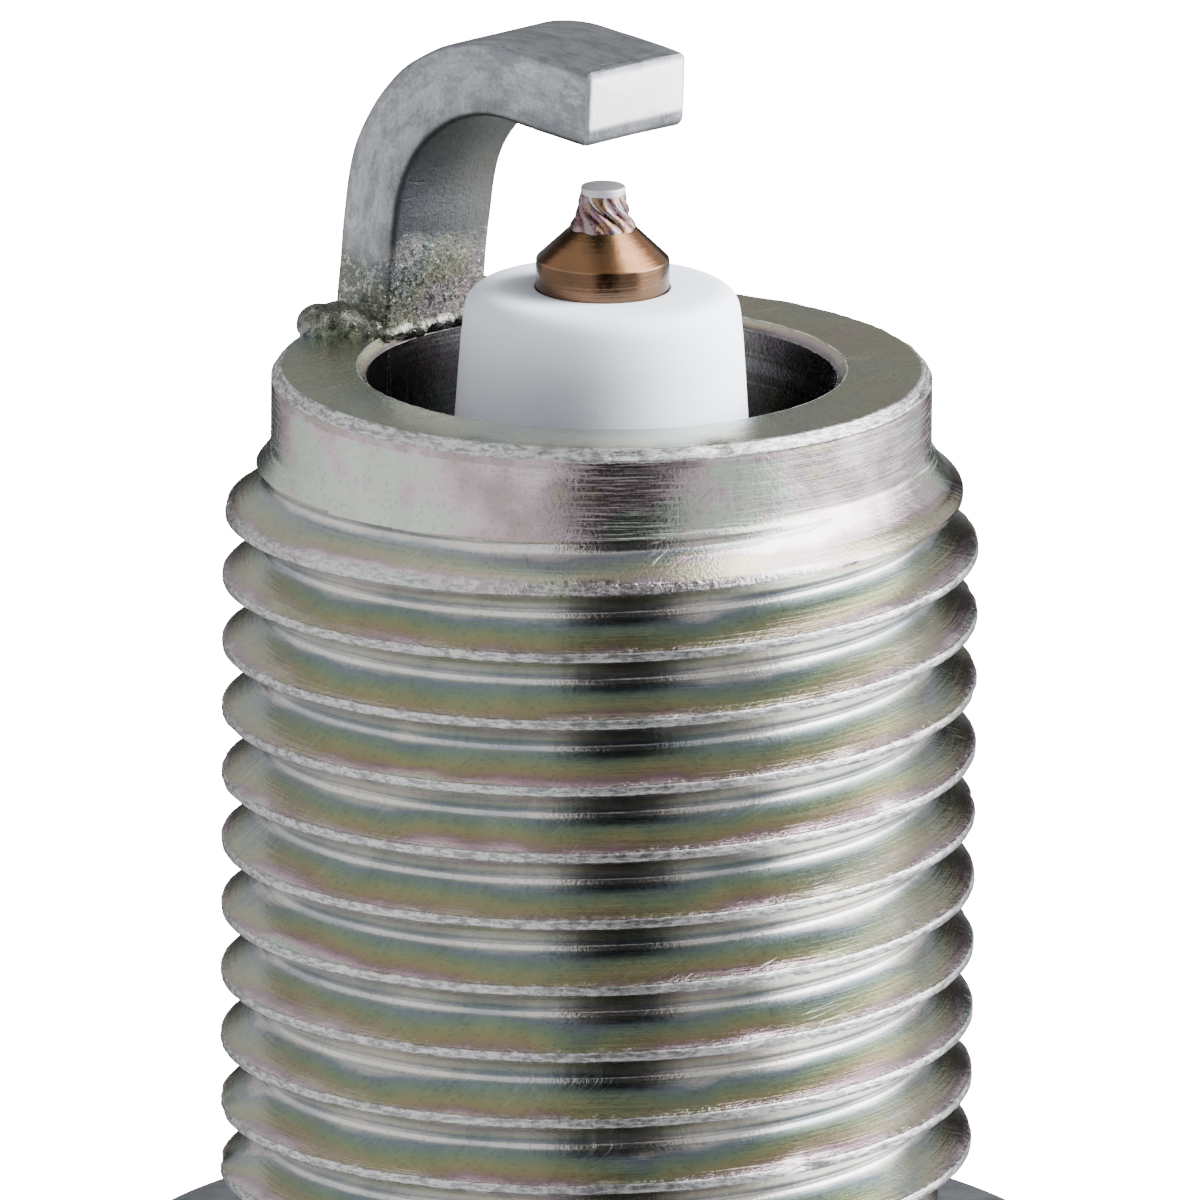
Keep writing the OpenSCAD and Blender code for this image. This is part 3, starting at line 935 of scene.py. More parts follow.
@dataclass(frozen=True)
class TurnedFinish(Finish):
    """Turned bar metal with tool lines, two tones and bright worn edges."""

    light: Colour
    dark: Colour
    edge: Colour
    lines: float = 9000.0
    depth: float = 0.000004
    rough: float = 0.26
    tone_share: float = 0.6

    def build(self) -> bpy.types.Material:
        """Builds the material.

        Returns:
            The turned metal material.
        """
        made, graph, shader = self.start()
        place = graph.position()
        grain = Effect.place(graph, "Grain", {"Vector": place, "Fine": 14000.0, "Broad": 900.0})
        lines = Effect.place(graph, "Lathe lines", {"Vector": place, "Lines": self.lines})
        rub = self.rubbed_edges(graph, place, 4200.0)
        colour = graph.blend(graph.times(grain.outputs["Blotch"], self.tone_share), self.light, self.dark)
        colour = graph.blend(graph.times(lines.outputs["Lines"], 0.25), colour, self.dark)
        colour = graph.blend(graph.times(rub.outputs["Mask"], 0.7), colour, self.edge)
        rough = graph.plus(self.rough, graph.times(grain.outputs["Fine"], 0.10))
        rough = graph.plus(rough, graph.times(lines.outputs["Lines"], 0.08))
        height = graph.plus(lines.outputs["Lines"], graph.times(grain.outputs["Fine"], 0.3))
        normal = self.bump(graph, height, self.depth)
        self.dress(graph, shader, colour, rough, normal)
        return made


@dataclass(frozen=True)
class TintFinish(Finish):
    """Turned alloy under a copper-coloured heat film, browner on the rod than on the cone."""

    copper: Colour = (0.31, 0.145, 0.07, 1.0)
    olive: Colour = (0.12, 0.10, 0.055, 1.0)
    rod: Colour = (0.07, 0.052, 0.04, 1.0)
    edge: Colour = (0.42, 0.32, 0.24, 1.0)

    def build(self) -> bpy.types.Material:
        """Builds the material.

        Returns:
            The heat-tinted material.
        """
        made, graph, shader = self.start()
        place = graph.position()
        grain = Effect.place(graph, "Grain", {"Vector": place, "Fine": 15000.0, "Broad": 1300.0})
        lines = Effect.place(graph, "Lathe lines", {"Vector": place, "Lines": 15000.0})
        rub = self.rubbed_edges(graph, place, 4200.0)
        colour = graph.blend(graph.times(grain.outputs["Blotch"], 0.5), self.copper, self.olive)
        colour = graph.blend(graph.times(graph.value_of(Mark.DEPTH), 0.9), colour, self.rod)
        colour = graph.blend(graph.times(lines.outputs["Lines"], 0.1), colour, self.rod)
        colour = graph.blend(graph.times(rub.outputs["Mask"], 0.22), colour, self.edge)
        rough = graph.plus(0.17, graph.times(grain.outputs["Fine"], 0.08))
        height = graph.plus(lines.outputs["Lines"], graph.times(grain.outputs["Fine"], 0.6))
        normal = self.bump(graph, height, 0.0000012)
        self.dress(graph, shader, colour, rough, normal)
        return made


@dataclass(frozen=True)
class NuggetFinish(Finish):
    """Laser-melted ring of metal with heat colours on its ripples and painted shade in the valleys between
    them.
    """

    def build(self) -> bpy.types.Material:
        """Builds the material.

        Returns:
            The laser weld material.
        """
        made, graph, shader = self.start()
        place = graph.position()
        grain = Effect.place(graph, "Grain", {"Vector": place, "Fine": 16000.0, "Broad": 4200.0})
        stops = [
            (0.0, (0.13, 0.08, 0.045, 1.0)),
            (0.3, (0.26, 0.15, 0.09, 1.0)),
            (0.5, (0.38, 0.26, 0.18, 1.0)),
            (0.7, (0.34, 0.17, 0.23, 1.0)),
            (1.0, (0.36, 0.29, 0.30, 1.0)),
        ]
        valley = graph.value_of(Mark.DEPTH)
        # Painted shade in the valleys between the nuggets: the ramp is shifted darker there and blended
        # towards a dark brown.
        lift = graph.minus(0.4, graph.times(valley, 0.5))
        tone = graph.plus(graph.times(grain.outputs["Blotch"], 0.65), lift, clamp=True)
        valley_shade = (0.08, 0.05, 0.035, 1.0)
        colour = graph.blend(graph.times(valley, 0.85), graph.ramp(tone, stops), valley_shade)
        rough = graph.plus(0.22, graph.times(grain.outputs["Fine"], 0.15))
        normal = self.bump(graph, grain.outputs["Fine"], 0.000004)
        self.dress(graph, shader, colour, rough, normal)
        return made


@dataclass(frozen=True)
class PressedFinish(Finish):
    """Pressed or cast filling: sheet steel, wire, glass or powder, by its own values."""

    light: Colour
    dark: Colour
    metal: float
    rough: float
    fine: float = 9000.0
    specks: float = 0.0
    depth: float = 0.000006

    def build(self) -> bpy.types.Material:
        """Builds the material.

        Returns:
            The pressed material.
        """
        made, graph, shader = self.start()
        place = graph.position()
        grain = Effect.place(graph, "Grain", {"Vector": place, "Fine": self.fine, "Broad": 800.0})
        speck = Effect.place(graph, "Specks", {"Vector": place, "Scale": self.fine * 0.3, "Share": 0.7})
        marks = Effect.place(graph, "Scratches", {"Vector": place, "Scale": 450.0})
        colour = graph.blend(grain.outputs["Blotch"], self.light, self.dark)
        colour = graph.blend(graph.times(speck.outputs["Mask"], self.specks), colour, self.dark)
        colour = graph.blend(graph.times(marks.outputs["Mask"], 0.3), colour, self.light)
        rough = graph.plus(self.rough, graph.times(grain.outputs["Fine"], 0.16))
        height = graph.minus(grain.outputs["Fine"], graph.times(marks.outputs["Mask"], 0.6))
        normal = self.bump(graph, height, self.depth)
        self.dress(graph, shader, colour, rough, normal, self.metal)
        return made


@dataclass
class SubAssembly:
    """A group of pieces that are built and dressed together."""

    layout: Layout
    pieces: list[bpy.types.Object] = field(default_factory=list)

    def finish_piece(
        self, piece: bpy.types.Object, body: Body, node: str, slot: str, material: bpy.types.Material
    ) -> None:
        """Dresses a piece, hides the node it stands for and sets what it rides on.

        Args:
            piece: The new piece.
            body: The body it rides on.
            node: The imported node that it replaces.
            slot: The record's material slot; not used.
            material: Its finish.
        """
        piece.data.materials.clear()
        piece.data.materials.append(material)
        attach(piece, body.value)
        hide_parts(node)
        self.pieces.append(piece)


@dataclass
class ThreadedShell(SubAssembly):
    """The plated steel shell with its rolled thread, hexagon, crimped lip and open bore."""

    columns: int = 204
    pitch: float = 1.25
    crest_r: float = 6.92
    groove: float = 0.78
    neck_r: float = 6.12
    pilot_r: float = 6.04
    bore_r: float = 4.3
    crest_z: float = 1.1136
    turns: int = 12
    hex_reach: float = 8.0
    hex_h: float = 8.5
    flange_h: float = 3.4
    flange_inset: float = 0.008
    waist_gap: float = 0.6
    waist_h: float = 1.7
    waist_r: float = 7.7
    ledge_r: float = 3.75
    room_r: float = 5.25
    chamber_r: float = 6.15
    seat_slope: float = 0.58
    lip_bend_r: float = 1.4
    dents: int = 230
    chips: int = 90
    seed: int = 7

    def crest_section(self) -> tuple[np.ndarray, np.ndarray]:
        """Gives one pitch of the thread.

        Returns:
            The share of the pitch from one root to the next, and the share of the depth there.
        """
        half = np.array([0.0, 0.040, 0.058, 0.080, 0.20, 0.34, 0.385, 0.42, 0.455, 0.5])
        deep = np.array([0.0, 0.0, 0.012, 0.065, 0.378, 0.744, 0.861, 0.935, 0.982, 1.0])
        share = np.concatenate([0.5 - half[::-1], 0.5 + half[1:]])
        return share, np.concatenate([deep[::-1], deep[1:]])

    def envelope(self, below: np.ndarray) -> np.ndarray:
        """Gives the largest radius at a depth below the end face, where the thread starts.

        Args:
            below: Depths below the end face.

        Returns:
            The radius at each depth.
        """
        return np.interp(
            below,
            [0.0, 1.50, 1.56, 1.75, 2.0, 2.12, 2.3, 2.7, 3.1],
            [self.pilot_r, self.pilot_r, 6.08, 6.20, 6.40, 6.56, 6.74, 6.86, self.crest_r],
        )

    def thread_rows(self) -> tuple[np.ndarray, np.ndarray, np.ndarray, np.ndarray, np.ndarray]:
        """Lays out the rows of the true helix between the neck and the pilot.

        Returns:
            Radius, height, groove depth, flank side and wear of each row and column.
        """
        share, deep = self.crest_section()
        turn = np.linspace(0.0, 1.0, self.columns + 1)
        start = self.crest_z - self.pitch / 2
        heights, depths, sides, fades = [], [], [], []
        side = np.sin((share - 0.5) * TURN) * np.sin(np.pi * np.clip(deep, 0, 1))
        for part in share[:-1]:
            heights.append(start + self.pitch * turn * part)
            depths.append(np.ones_like(turn))
            sides.append(np.zeros_like(turn))
            fades.append(np.zeros_like(turn))
        for lap in range(self.turns):
            last = share if lap == self.turns - 1 else share[:-1]
            for index, part in enumerate(last):
                heights.append(start + self.pitch * (lap + turn + part))
                depths.append(np.full_like(turn, deep[index]))
                sides.append(np.full_like(turn, side[index]))
                reach = np.clip((lap + turn) / 0.4, 0.0, 1.0)
                fades.append(reach * reach * (3 - 2 * reach))
        roof = start + self.pitch * (self.turns + 1)
        top = heights[-1]
        for part in share[1:]:
            heights.append(top + (roof - top) * part)
            depths.append(np.ones_like(turn))
            sides.append(np.zeros_like(turn))
            fades.append(np.ones_like(turn))
        height, depth = np.array(heights), np.array(depths)
        fade, flank = np.array(fades), np.array(sides)
        radius = self.neck_r + (self.crest_r - self.groove * depth - self.neck_r) * fade
        limit = self.envelope(self.layout.end_z - height)
        wear = np.clip(1.0 - depth * 9.0, 0.0, 1.0) * fade
        clipped = radius > limit
        near = np.clip((limit - 6.66) / 0.1, 0.0, 1.0)
        wear = np.where(clipped, 0.6 * near, wear)
        shade = np.interp(limit, [6.36, 6.44, 6.66, 6.74], [-0.22, 0.34, 0.34, -0.03])
        depth = np.where(clipped, shade, depth)
        radius = np.minimum(radius, limit)
        return radius, height, depth, flank * fade, wear

    def hexagon_radius(self) -> np.ndarray:
        """Gives the distance from the axis to the hexagon's side in each column."""
        turn = np.linspace(0.0, TURN, self.columns + 1)
        off = np.mod(turn, TURN / 6) - TURN / 12
        return np.minimum(self.hex_reach / np.cos(off), self.hex_reach / math.cos(TURN / 12) - 0.07)

    def ring_rows(self, outline: Sequence[Corner]) -> tuple[np.ndarray, np.ndarray, np.ndarray]:
        """Repeats an outline's points round the turn.

        Args:
            outline: Radius, height and wear of each point.

        Returns:
            Radius, height and wear of each row and column.
        """
        table = np.array(outline)
        ones = np.ones(self.columns + 1)
        return tuple(np.outer(table[:, i], ones) for i in range(3))

    def hexagon_rows(self, low: float, high: float) -> tuple[np.ndarray, np.ndarray, np.ndarray]:
        """Lays out the hexagon from its rear face to its front face.

        Args:
            low: Height of the rear face.
            high: Height of the front face.

        Returns:
            Radius, height and wear of each row and column.
        """
        side = self.hexagon_radius()
        cut = np.maximum(side - self.hex_reach - 0.25, 0.0) * math.tan(math.radians(30))
        turn = np.linspace(0.0, TURN, self.columns + 1)
        corner = np.exp(-((np.mod(turn + TURN / 12, TURN / 6) - TURN / 12) / 0.03) ** 2)
        zero = np.zeros_like(side)
        face = np.minimum(self.hex_reach + 0.2, side - 0.16)
        rows = [
            (face, low + zero, zero),
            (side - 0.08, low + np.maximum(cut - 0.03, 0.0), zero + 0.8),
            (side - 0.02, low + cut + 0.02, zero + 1.0),
            (side, low + cut + 0.09, zero + 0.5),
        ]
        for share in (0.12, 0.25, 0.4, 0.55, 0.7, 0.85):
            rows.append((side, zero + low + 0.7 + (high - low - 1.4) * share, zero))
        rows += [
            (side, high - cut - 0.09, zero + 0.5),
            (side - 0.02, high - cut - 0.02, zero + 1.0),
            (side - 0.08, high - np.maximum(cut - 0.03, 0.0), zero + 0.8),
            (face, high + zero, zero),
        ]
        radius, height, wear = (np.array([row[i] for row in rows]) for i in range(3))
        return radius, height, np.maximum(wear, corner * 0.8)

    def nicked(self, radius: np.ndarray, height: np.ndarray, wear: np.ndarray) -> np.ndarray:
        """Puts small dents and a rolled unevenness on the edges and crests.

        Args:
            radius: Radius of each row and column.
            height: Height of each row and column.
            wear: Wear of each row and column.

        Returns:
            The changed radius.
        """
        rng = np.random.default_rng(self.seed)
        turn = np.linspace(0.0, TURN, self.columns + 1)[None, :]
        dented = radius.copy()
        for _ in range(self.dents):
            at, z = rng.uniform(0.0, TURN), rng.uniform(0.6, self.layout.end_z - 1.6)
            wide, tall, deep = rng.uniform(0.12, 0.4), rng.uniform(0.08, 0.16), rng.uniform(0.02, 0.07)
            gap = np.angle(np.exp(1j * (turn - at))) * self.crest_r
            rows = np.abs(height - z) < 1.6 * self.pitch
            pull = np.exp(-((gap / wide) ** 2) - ((height - z) / (tall * 2.5)) ** 2)
            dented -= np.where(rows, deep * pull * np.clip(wear * 1.2, 0, 1), 0.0)
        ripple = rng.normal(0.0, 1.0, radius.shape)
        ripple[:, -1] = ripple[:, 0]
        smooth = (ripple + np.roll(ripple, 1, axis=1) + np.roll(ripple, -1, axis=1)) / 3
        smooth[:, :2] = smooth[:, -2:] = 0.0
        outside = (radius > self.neck_r + 0.3) & (height > 0.5)
        share = np.zeros_like(radius)
        share[outside] = np.clip(wear, 0, 1)[outside]
        return dented - 0.014 * share * np.abs(smooth)

    def nibbled(self, radius: np.ndarray, height: np.ndarray) -> tuple[np.ndarray, np.ndarray]:
        """Makes the outer and inner rims of the end face slightly irregular.

        Args:
            radius: Radius of each row and column.
            height: Height of each row and column.

        Returns:
            The changed radius and height.
        """
        rng = np.random.default_rng(self.seed + 5)
        turn = np.linspace(0.0, TURN, self.columns + 1)
        chips = sum(
            rng.uniform(0.3, 1.0)
            * np.exp(-((np.angle(np.exp(1j * (turn - at))) / rng.uniform(0.008, 0.04)) ** 2))
            for at in rng.uniform(0.1, TURN - 0.1, self.chips)
        )
        grain = rng.uniform(0.0, 1.0, self.columns + 1)
        grain[0] = grain[-1] = 0.5
        bite = np.clip(0.045 * chips + 0.03 * grain, 0.0, 0.11)[None, :]
        above = height - self.layout.end_z
        outer = np.exp(-(((radius - self.pilot_r + 0.06) / 0.10) ** 2) - ((above + 0.06) / 0.10) ** 2)
        inner = np.exp(-(((radius - self.bore_r - 0.1) / 0.12) ** 2) - ((above + 0.1) / 0.12) ** 2)
        near = height > self.layout.end_z - 0.5
        height = np.where(near, height - bite * (outer + 0.5 * inner), height)
        radius = np.where(near, radius - bite * outer * 0.6, radius)
        return radius, height

    def build(self, finish: bpy.types.Material) -> None:
        """Builds the shell as one closed skin.

        Args:
            finish: The plated material.
        """
        lay = self.layout
        flange_low = lay.seat_z - self.flange_h
        flange_r = lay.flange_r - self.flange_inset
        waist_top = flange_low - self.waist_gap
        hex_top = waist_top - self.waist_h
        hex_low = hex_top - self.hex_h
        ledge_top, ledge_low = lay.ledge_top, lay.ledge_low
        chamber_top = hex_top - self.waist_gap
        cone = self.seat_slope
        start = self.crest_z - self.pitch / 2
        roof = start + self.pitch * (self.turns + 1)
        front = Outline.rounded(
            [
                (self.pilot_r, roof + 0.001, 0.0),
                (self.pilot_r, lay.end_z - 0.25, 0.0),
                (self.pilot_r, lay.end_z - 0.16, 0.05),
                (self.pilot_r - 0.14, lay.end_z, 0.06),
                (self.pilot_r - 0.24, lay.end_z, 0.0),
                (self.bore_r + 0.18, lay.end_z, 0.05),
                (self.bore_r, lay.end_z - 0.17, 0.05),
                (self.bore_r, ledge_top + 0.55, 0.2),
                (self.ledge_r, ledge_top, 0.1),
                (self.ledge_r, ledge_low, 0.1),
                (self.room_r, ledge_low - (self.room_r - self.ledge_r) * cone, 0.1),
                (self.room_r, chamber_top + 0.9, 0.0),
                (self.chamber_r, chamber_top, 0.1),
                (self.chamber_r, hex_low - 0.9, 0.1),
                (5.3, hex_low - 1.5, 0.1),
                (5.3, lay.lip_z + 0.12, 0.08),
                (5.5, lay.lip_z, 0.08),
            ]
        )
        front = Outline.divided(front, 0.75)[:-1]
        centre = (6.0, lay.lip_z + self.lip_bend_r)
        lip = Outline.arc(centre, self.lip_bend_r, -100, 0, 14)
        lip += [(7.4, hex_low - 0.35, 0.0), (7.4, hex_low - 0.06, 0.0), (7.46, hex_low, 0.0)]
        rear = Outline.rounded(
            [
                (7.74, hex_top, 0.0),
                (self.waist_r, hex_top + 0.06, 0.0),
                (self.waist_r, waist_top - 0.1, 0.1),
                (self.waist_r, waist_top, 0.25),
                (flange_r - 0.5, flange_low, 0.12),
                (flange_r, flange_low + 0.5, 0.12),
                (flange_r, lay.seat_z - 0.3, 0.1),
                (flange_r - 0.3, lay.seat_z, 0.08),
                (self.neck_r, lay.seat_z, 0.1),
                (self.neck_r, start - 0.02, 0.0),
            ]
        )
        rear = Outline.divided(rear, 0.9)
        stop = next(i for i, c in enumerate(rear) if abs(c[1] - (start - 0.02)) < 1e-6)
        rear = rear[: stop + 1]
        radius, height, depth, side, wear = self.thread_rows()
        blocks = [
            (radius, height, wear),
            self.ring_rows(front),
            self.ring_rows(lip),
            self.hexagon_rows(hex_low, hex_top),
            self.ring_rows(rear),
            (radius[:1], height[:1], wear[:1]),
        ]
        radius_all, height_all, wear_all = (np.vstack([b[i] for b in blocks]) for i in range(3))
        extra = radius_all.shape[0] - depth.shape[0]
        depth_all = np.vstack([depth, np.zeros((extra, self.columns + 1))])
        side_all = np.vstack([side, np.zeros((extra, self.columns + 1))])
        capped = (height_all > lay.end_z - 0.05) & (radius_all < self.pilot_r - 0.1)
        depth_all[capped] = 0.5
        pilot = (height_all > roof - 0.5) & (radius_all > self.pilot_r - 0.02) & ~capped
        rim = (height_all > lay.end_z - 0.22) & (radius_all > self.pilot_r - 0.2)
        wear_all = np.where(pilot, np.maximum(wear_all, 0.08), wear_all)
        wear_all = np.where(rim, 1.0, wear_all)
        outside = np.zeros_like(radius_all)
        outside[: radius.shape[0]] = 1.0
        radius_all = np.where(outside > 0, self.nicked(radius_all, height_all, wear_all), radius_all)
        radius_all[-1] = radius_all[0]
        radius_all, height_all = self.nibbled(radius_all, height_all)
        piece = Bench.wrapped("ThreadedShell", radius_all, height_all)
        Bench.mark(piece, Mark.WEAR, wear_all)
        Bench.mark(piece, Mark.DEPTH, depth_all)
        Bench.mark(piece, Mark.SIDE, side_all)
        Bench.settle(piece, 44.0)
        self.finish_piece(piece, Body.PLUG, "metal_shell", "plated_shell", finish)


@dataclass
class Gasket(SubAssembly):
    """The folded sheet sealing ring."""

    inner_r: float = 6.75
    sheet: float = 0.4

    def build(self, finish: bpy.types.Material) -> None:
        """Builds the ring as one folded leaf.

        Args:
            finish: The sheet steel material.
        """
        lay = self.layout
        gap = (-lay.seat_z - 3 * self.sheet) / 2
        fold = self.sheet + gap / 2
        outer_x, inner_x = lay.gasket_r - fold, self.inner_r + fold
        low = lay.seat_z
        middle = Outline.arc((outer_x, -fold), fold, 90, -90, 18)
        inside = Outline.arc((inner_x, low + fold), fold, 90, 270, 18)
        back_in = Outline.arc((inner_x, low + fold), fold - self.sheet, 270, 90, 14)
        back_out = Outline.arc((outer_x, -fold), fold - self.sheet, -90, 90, 14)
        corners = [(self.inner_r + 0.03, -0.06, 0.0), (self.inner_r + 0.12, 0.0, 0.0), *middle, *inside]
        corners += [(outer_x + 0.29, low, 0.0), (outer_x + 0.35, low + 0.06, 0.0)]
        corners += [(outer_x + 0.35, low + 0.34, 0.0), (outer_x + 0.29, low + self.sheet, 0.0)]
        corners += [*back_in, *back_out]
        corners += [(self.inner_r + 0.12, -self.sheet, 0.0), (self.inner_r + 0.03, -0.34, 0.0)]
        piece = Bench.turned("Gasket", Outline.divided(corners, 0.5), 160)
        points = Bench.points(piece)
        turn = np.arctan2(points[:, 1], points[:, 0])
        reach = np.hypot(points[:, 0], points[:, 1])
        wave = 1.0 - 0.0035 * (1 + np.sin(3 * turn + 0.4)) * (reach > 7.5)
        points[:, :2] *= wave[:, None]
        Bench.move(piece, points)
        self.finish_piece(piece, Body.GASKET, "gasket", "gasket_steel", finish)


@dataclass
class Insulator(SubAssembly):
    """The one-piece ceramic body with its nose, collar and ribbed rear."""

    nose_r: float = 2.58
    rear_r: float = 5.2
    ribs: int = 5
    rib_pitch: float = 3.0
    rib_depth: float = 0.55
    rib_steps: int = 16

    def build(self, finish: bpy.types.Material) -> None:
        """Builds the body with its stepped bore.

        Args:
            finish: The ceramic material.
        """
        lay = self.layout
        ledge_top, seat = lay.ledge_top, lay.ledge_low
        collar_top = lay.seat_z - 6.8
        first = lay.rear_z + 5.2
        nose = [
            (1.235, lay.nose_top, 0.03),
            (self.nose_r - 0.10, lay.nose_top, 0.52),
            (self.nose_r, lay.nose_top - 0.95, 0.6),
            (self.nose_r + 0.12, lay.nose_top - 2.7, 0.5),
            (3.25, ledge_top + 0.6, 0.3),
            (3.6, ledge_top - 0.1, 0.2),
            (3.6, seat - 0.35 + 0.15 * 0.58, 0.1),
            (5.1, seat - 0.35 - 1.35 * 0.58, 0.1),
            (5.1, collar_top + 0.9, 0.1),
            (6.0, collar_top, 0.1),
            (6.0, collar_top - 2.6, 0.1),
            (self.rear_r, collar_top - 3.4, 0.1),
        ]
        outline = Outline.rounded(nose, 6)
        for i in range(self.ribs * self.rib_steps + 1):
            rib = i / self.rib_steps
            dip = self.rib_depth * (1 - math.cos(TURN * rib)) / 2
            outline.append((self.rear_r - dip, first + self.rib_pitch * (self.ribs - rib), 0.0))
        tail = [
            (self.rear_r, lay.rear_z + 4.2, 0.5),
            (4.3, lay.rear_z, 0.5),
            (2.0, lay.rear_z, 0.1),
            (2.0, 4.25 - 0.7, 0.0),
            (1.30, 4.25, 0.0),
        ]
        outline += Outline.rounded(tail, 6)
        plain = [(r, z, 0.0) for r, z, _ in outline]
        piece = Bench.turned("Insulator", Outline.divided(plain, 2.2), 144)
        self.finish_piece(piece, Body.PLUG, "insulator", "alumina", finish)


@dataclass
class GroundStrap(SubAssembly):
    """The bent strap that carries the spark back to the shell, and its weld."""

    thick: float = 1.42
    bend_r: float = 4.1
    bend_x: float = -1.43
    lean: float = 6.0
    dip: float = 3.5
    edge: float = 0.17
    voxel: float = 0.045
    overhang_r: float = 6.2
    skirt_r: float = 5.95
    crumbs: int = 26
    waves: int = 26
    seed: int = 11

    def build_strap(self, finish: bpy.types.Material) -> None:
        """Builds the strap from its flat section: leg, bend and arm.

        Args:
            finish: The blasted alloy material.
        """
        lay = self.layout
        lean = math.radians(self.lean)
        flat = math.radians(self.lean - self.dip)
        bend_z = lay.strap_top - self.bend_r
        half = lay.strap_half
        Bench.clear()
        bpy.ops.mesh.primitive_plane_add(size=1.0)
        piece = bpy.context.object
        piece.name = piece.data.name = "GroundStrap"
        bpy.ops.object.mode_set(mode="EDIT")
        arm = self.arm_length()
        middle = lay.strap_top - self.thick / 2
        bpy.ops.transform.resize(value=(self.thick * MM, 2 * half * MM, 1.0))
        bpy.ops.transform.rotate(value=math.radians(90), orient_axis="Y", center_override=(0.0, 0.0, 0.0))
        bpy.ops.transform.translate(value=((self.bend_x + arm) * MM, 0.0, middle * MM))
        bpy.ops.mesh.bevel(offset=self.edge * MM, segments=4, affect="VERTICES")
        bpy.ops.mesh.select_all(action="SELECT")
        for _ in range(10):
            bpy.ops.mesh.extrude_region_move(TRANSFORM_OT_translate={"value": (-arm * MM / 10, 0.0, 0.0)})
        bpy.ops.mesh.spin(
            steps=34,
            angle=math.radians(90) - flat,
            center=(self.bend_x * MM, 0.0, bend_z * MM),
            axis=(0.0, 1.0, 0.0),
        )
        drop = (bend_z + self.bend_r * math.sin(lean) - lay.end_z + 0.12) / math.cos(lean)
        for _ in range(8):
            step = drop * MM / 8
            move = (-math.sin(flat) * step, 0.0, -math.cos(flat) * step)
            bpy.ops.mesh.extrude_region_move(TRANSFORM_OT_translate={"value": move})
        bpy.ops.object.mode_set(mode="OBJECT")
        self.round_end(piece)
        Bench.settle(piece, 50.0)
        self.roughen(piece)
        self.finish_piece(piece, Body.PLUG, "ground_electrode", "strap_alloy", finish)

    def arm_length(self) -> float:
        """Gives the length of the straight arm past the bend."""
        dip = math.radians(self.dip)
        return (self.layout.strap_end - self.bend_x - self.bend_r * math.sin(dip)) / math.cos(dip)

    def unrolled(self, points: np.ndarray) -> np.ndarray:
        """Gives each point's place on the strap as if it were still flat.

        Args:
            points: Places on the strap while its arm is level.

        Returns:
            Distance past the start of the bend, distance from the middle and depth below the outer face.
        """
        flat = math.radians(self.lean - self.dip)
        x, z = points[:, 0] - self.bend_x, points[:, 2] - (self.layout.strap_top - self.bend_r)
        mid = self.bend_r - self.thick / 2
        angle = np.arctan2(z, x)
        past = -x * math.sin(flat) - z * math.cos(flat)
        on_arm, on_leg = x > 0, (x < 0) & (past > 0)
        round_bend = mid * (angle - math.pi / 2)
        down_leg = mid * (math.pi / 2 - flat) + past
        along = np.where(on_arm, -x, np.where(on_leg, down_leg, round_bend))
        bent = self.bend_r - np.hypot(x, z)
        level = self.bend_r + x * math.cos(flat) - z * math.sin(flat)
        deep = np.where(on_arm, self.bend_r - z, np.where(on_leg, level, bent))
        return np.stack([along, points[:, 1], deep], axis=-1)

    def round_end(self, piece: bpy.types.Object) -> None:
        """Rounds the edge of the strap's cut end and closes the piece.

        Args:
            piece: The strap.
        """
        Bench.edit(piece)
        bpy.ops.mesh.remove_doubles(threshold=1e-7)
        bpy.ops.mesh.normals_make_consistent(inside=False)
        bpy.ops.mesh.select_all(action="DESELECT")
        net = bmesh.from_edit_mesh(piece.data)
        tip = (self.bend_x + self.arm_length()) * MM - 1e-6
        for edge in net.edges:
            if all(v.co.x > tip for v in edge.verts) and len(edge.link_faces) == 2:
                normals = [f.normal.x for f in edge.link_faces]
                edge.select = min(normals) < 0.5 < max(normals)
        net.select_flush_mode()
        bmesh.update_edit_mesh(piece.data)
        bpy.ops.mesh.bevel(offset=self.edge * 0.85 * MM, segments=3, affect="EDGES")
        bpy.ops.object.mode_set(mode="OBJECT")

    def roughen(self, piece: bpy.types.Object) -> None:
        """Subdivides the strap and gives its faces a slight unevenness and its edges wear.

        Args:
            piece: The strap.
        """
        Bench.modify(piece, "SUBSURF", levels=1, render_levels=1, subdivision_type="SIMPLE")
        points = Bench.points(piece)
        Bench.lay(piece, Mark.RUN, self.unrolled(points))
        rng = np.random.default_rng(self.seed)
        shift = np.zeros(len(points))
        for _ in range(self.waves):
            wave = rng.normal(0.0, 1.0, 3) * rng.uniform(1.0, 5.0)
            shift += np.sin(points @ wave + rng.uniform(0, TURN)) / self.waves
        normals = np.empty(len(points) * 3)
        piece.data.vertices.foreach_get("normal", normals)
        normals = normals.reshape(-1, 3)
        points += normals * (shift * 0.05 - 0.012)[:, None]
        dip = math.radians(self.dip)
        bend_z = self.layout.strap_top - self.bend_r
        x, z = points[:, 0] - self.bend_x, points[:, 2] - bend_z
        points[:, 0] = self.bend_x + x * math.cos(dip) + z * math.sin(dip)
        points[:, 2] = bend_z - x * math.sin(dip) + z * math.cos(dip)
        points[:, 2] = np.minimum(points[:, 2], self.layout.strap_top)
        Bench.move(piece, points)
        flatness = np.maximum(np.abs(normals[:, 1]), np.hypot(normals[:, 0], normals[:, 2]))
        Bench.mark(piece, Mark.WEAR, np.clip((0.94 - flatness) * 6.0, 0, 1))

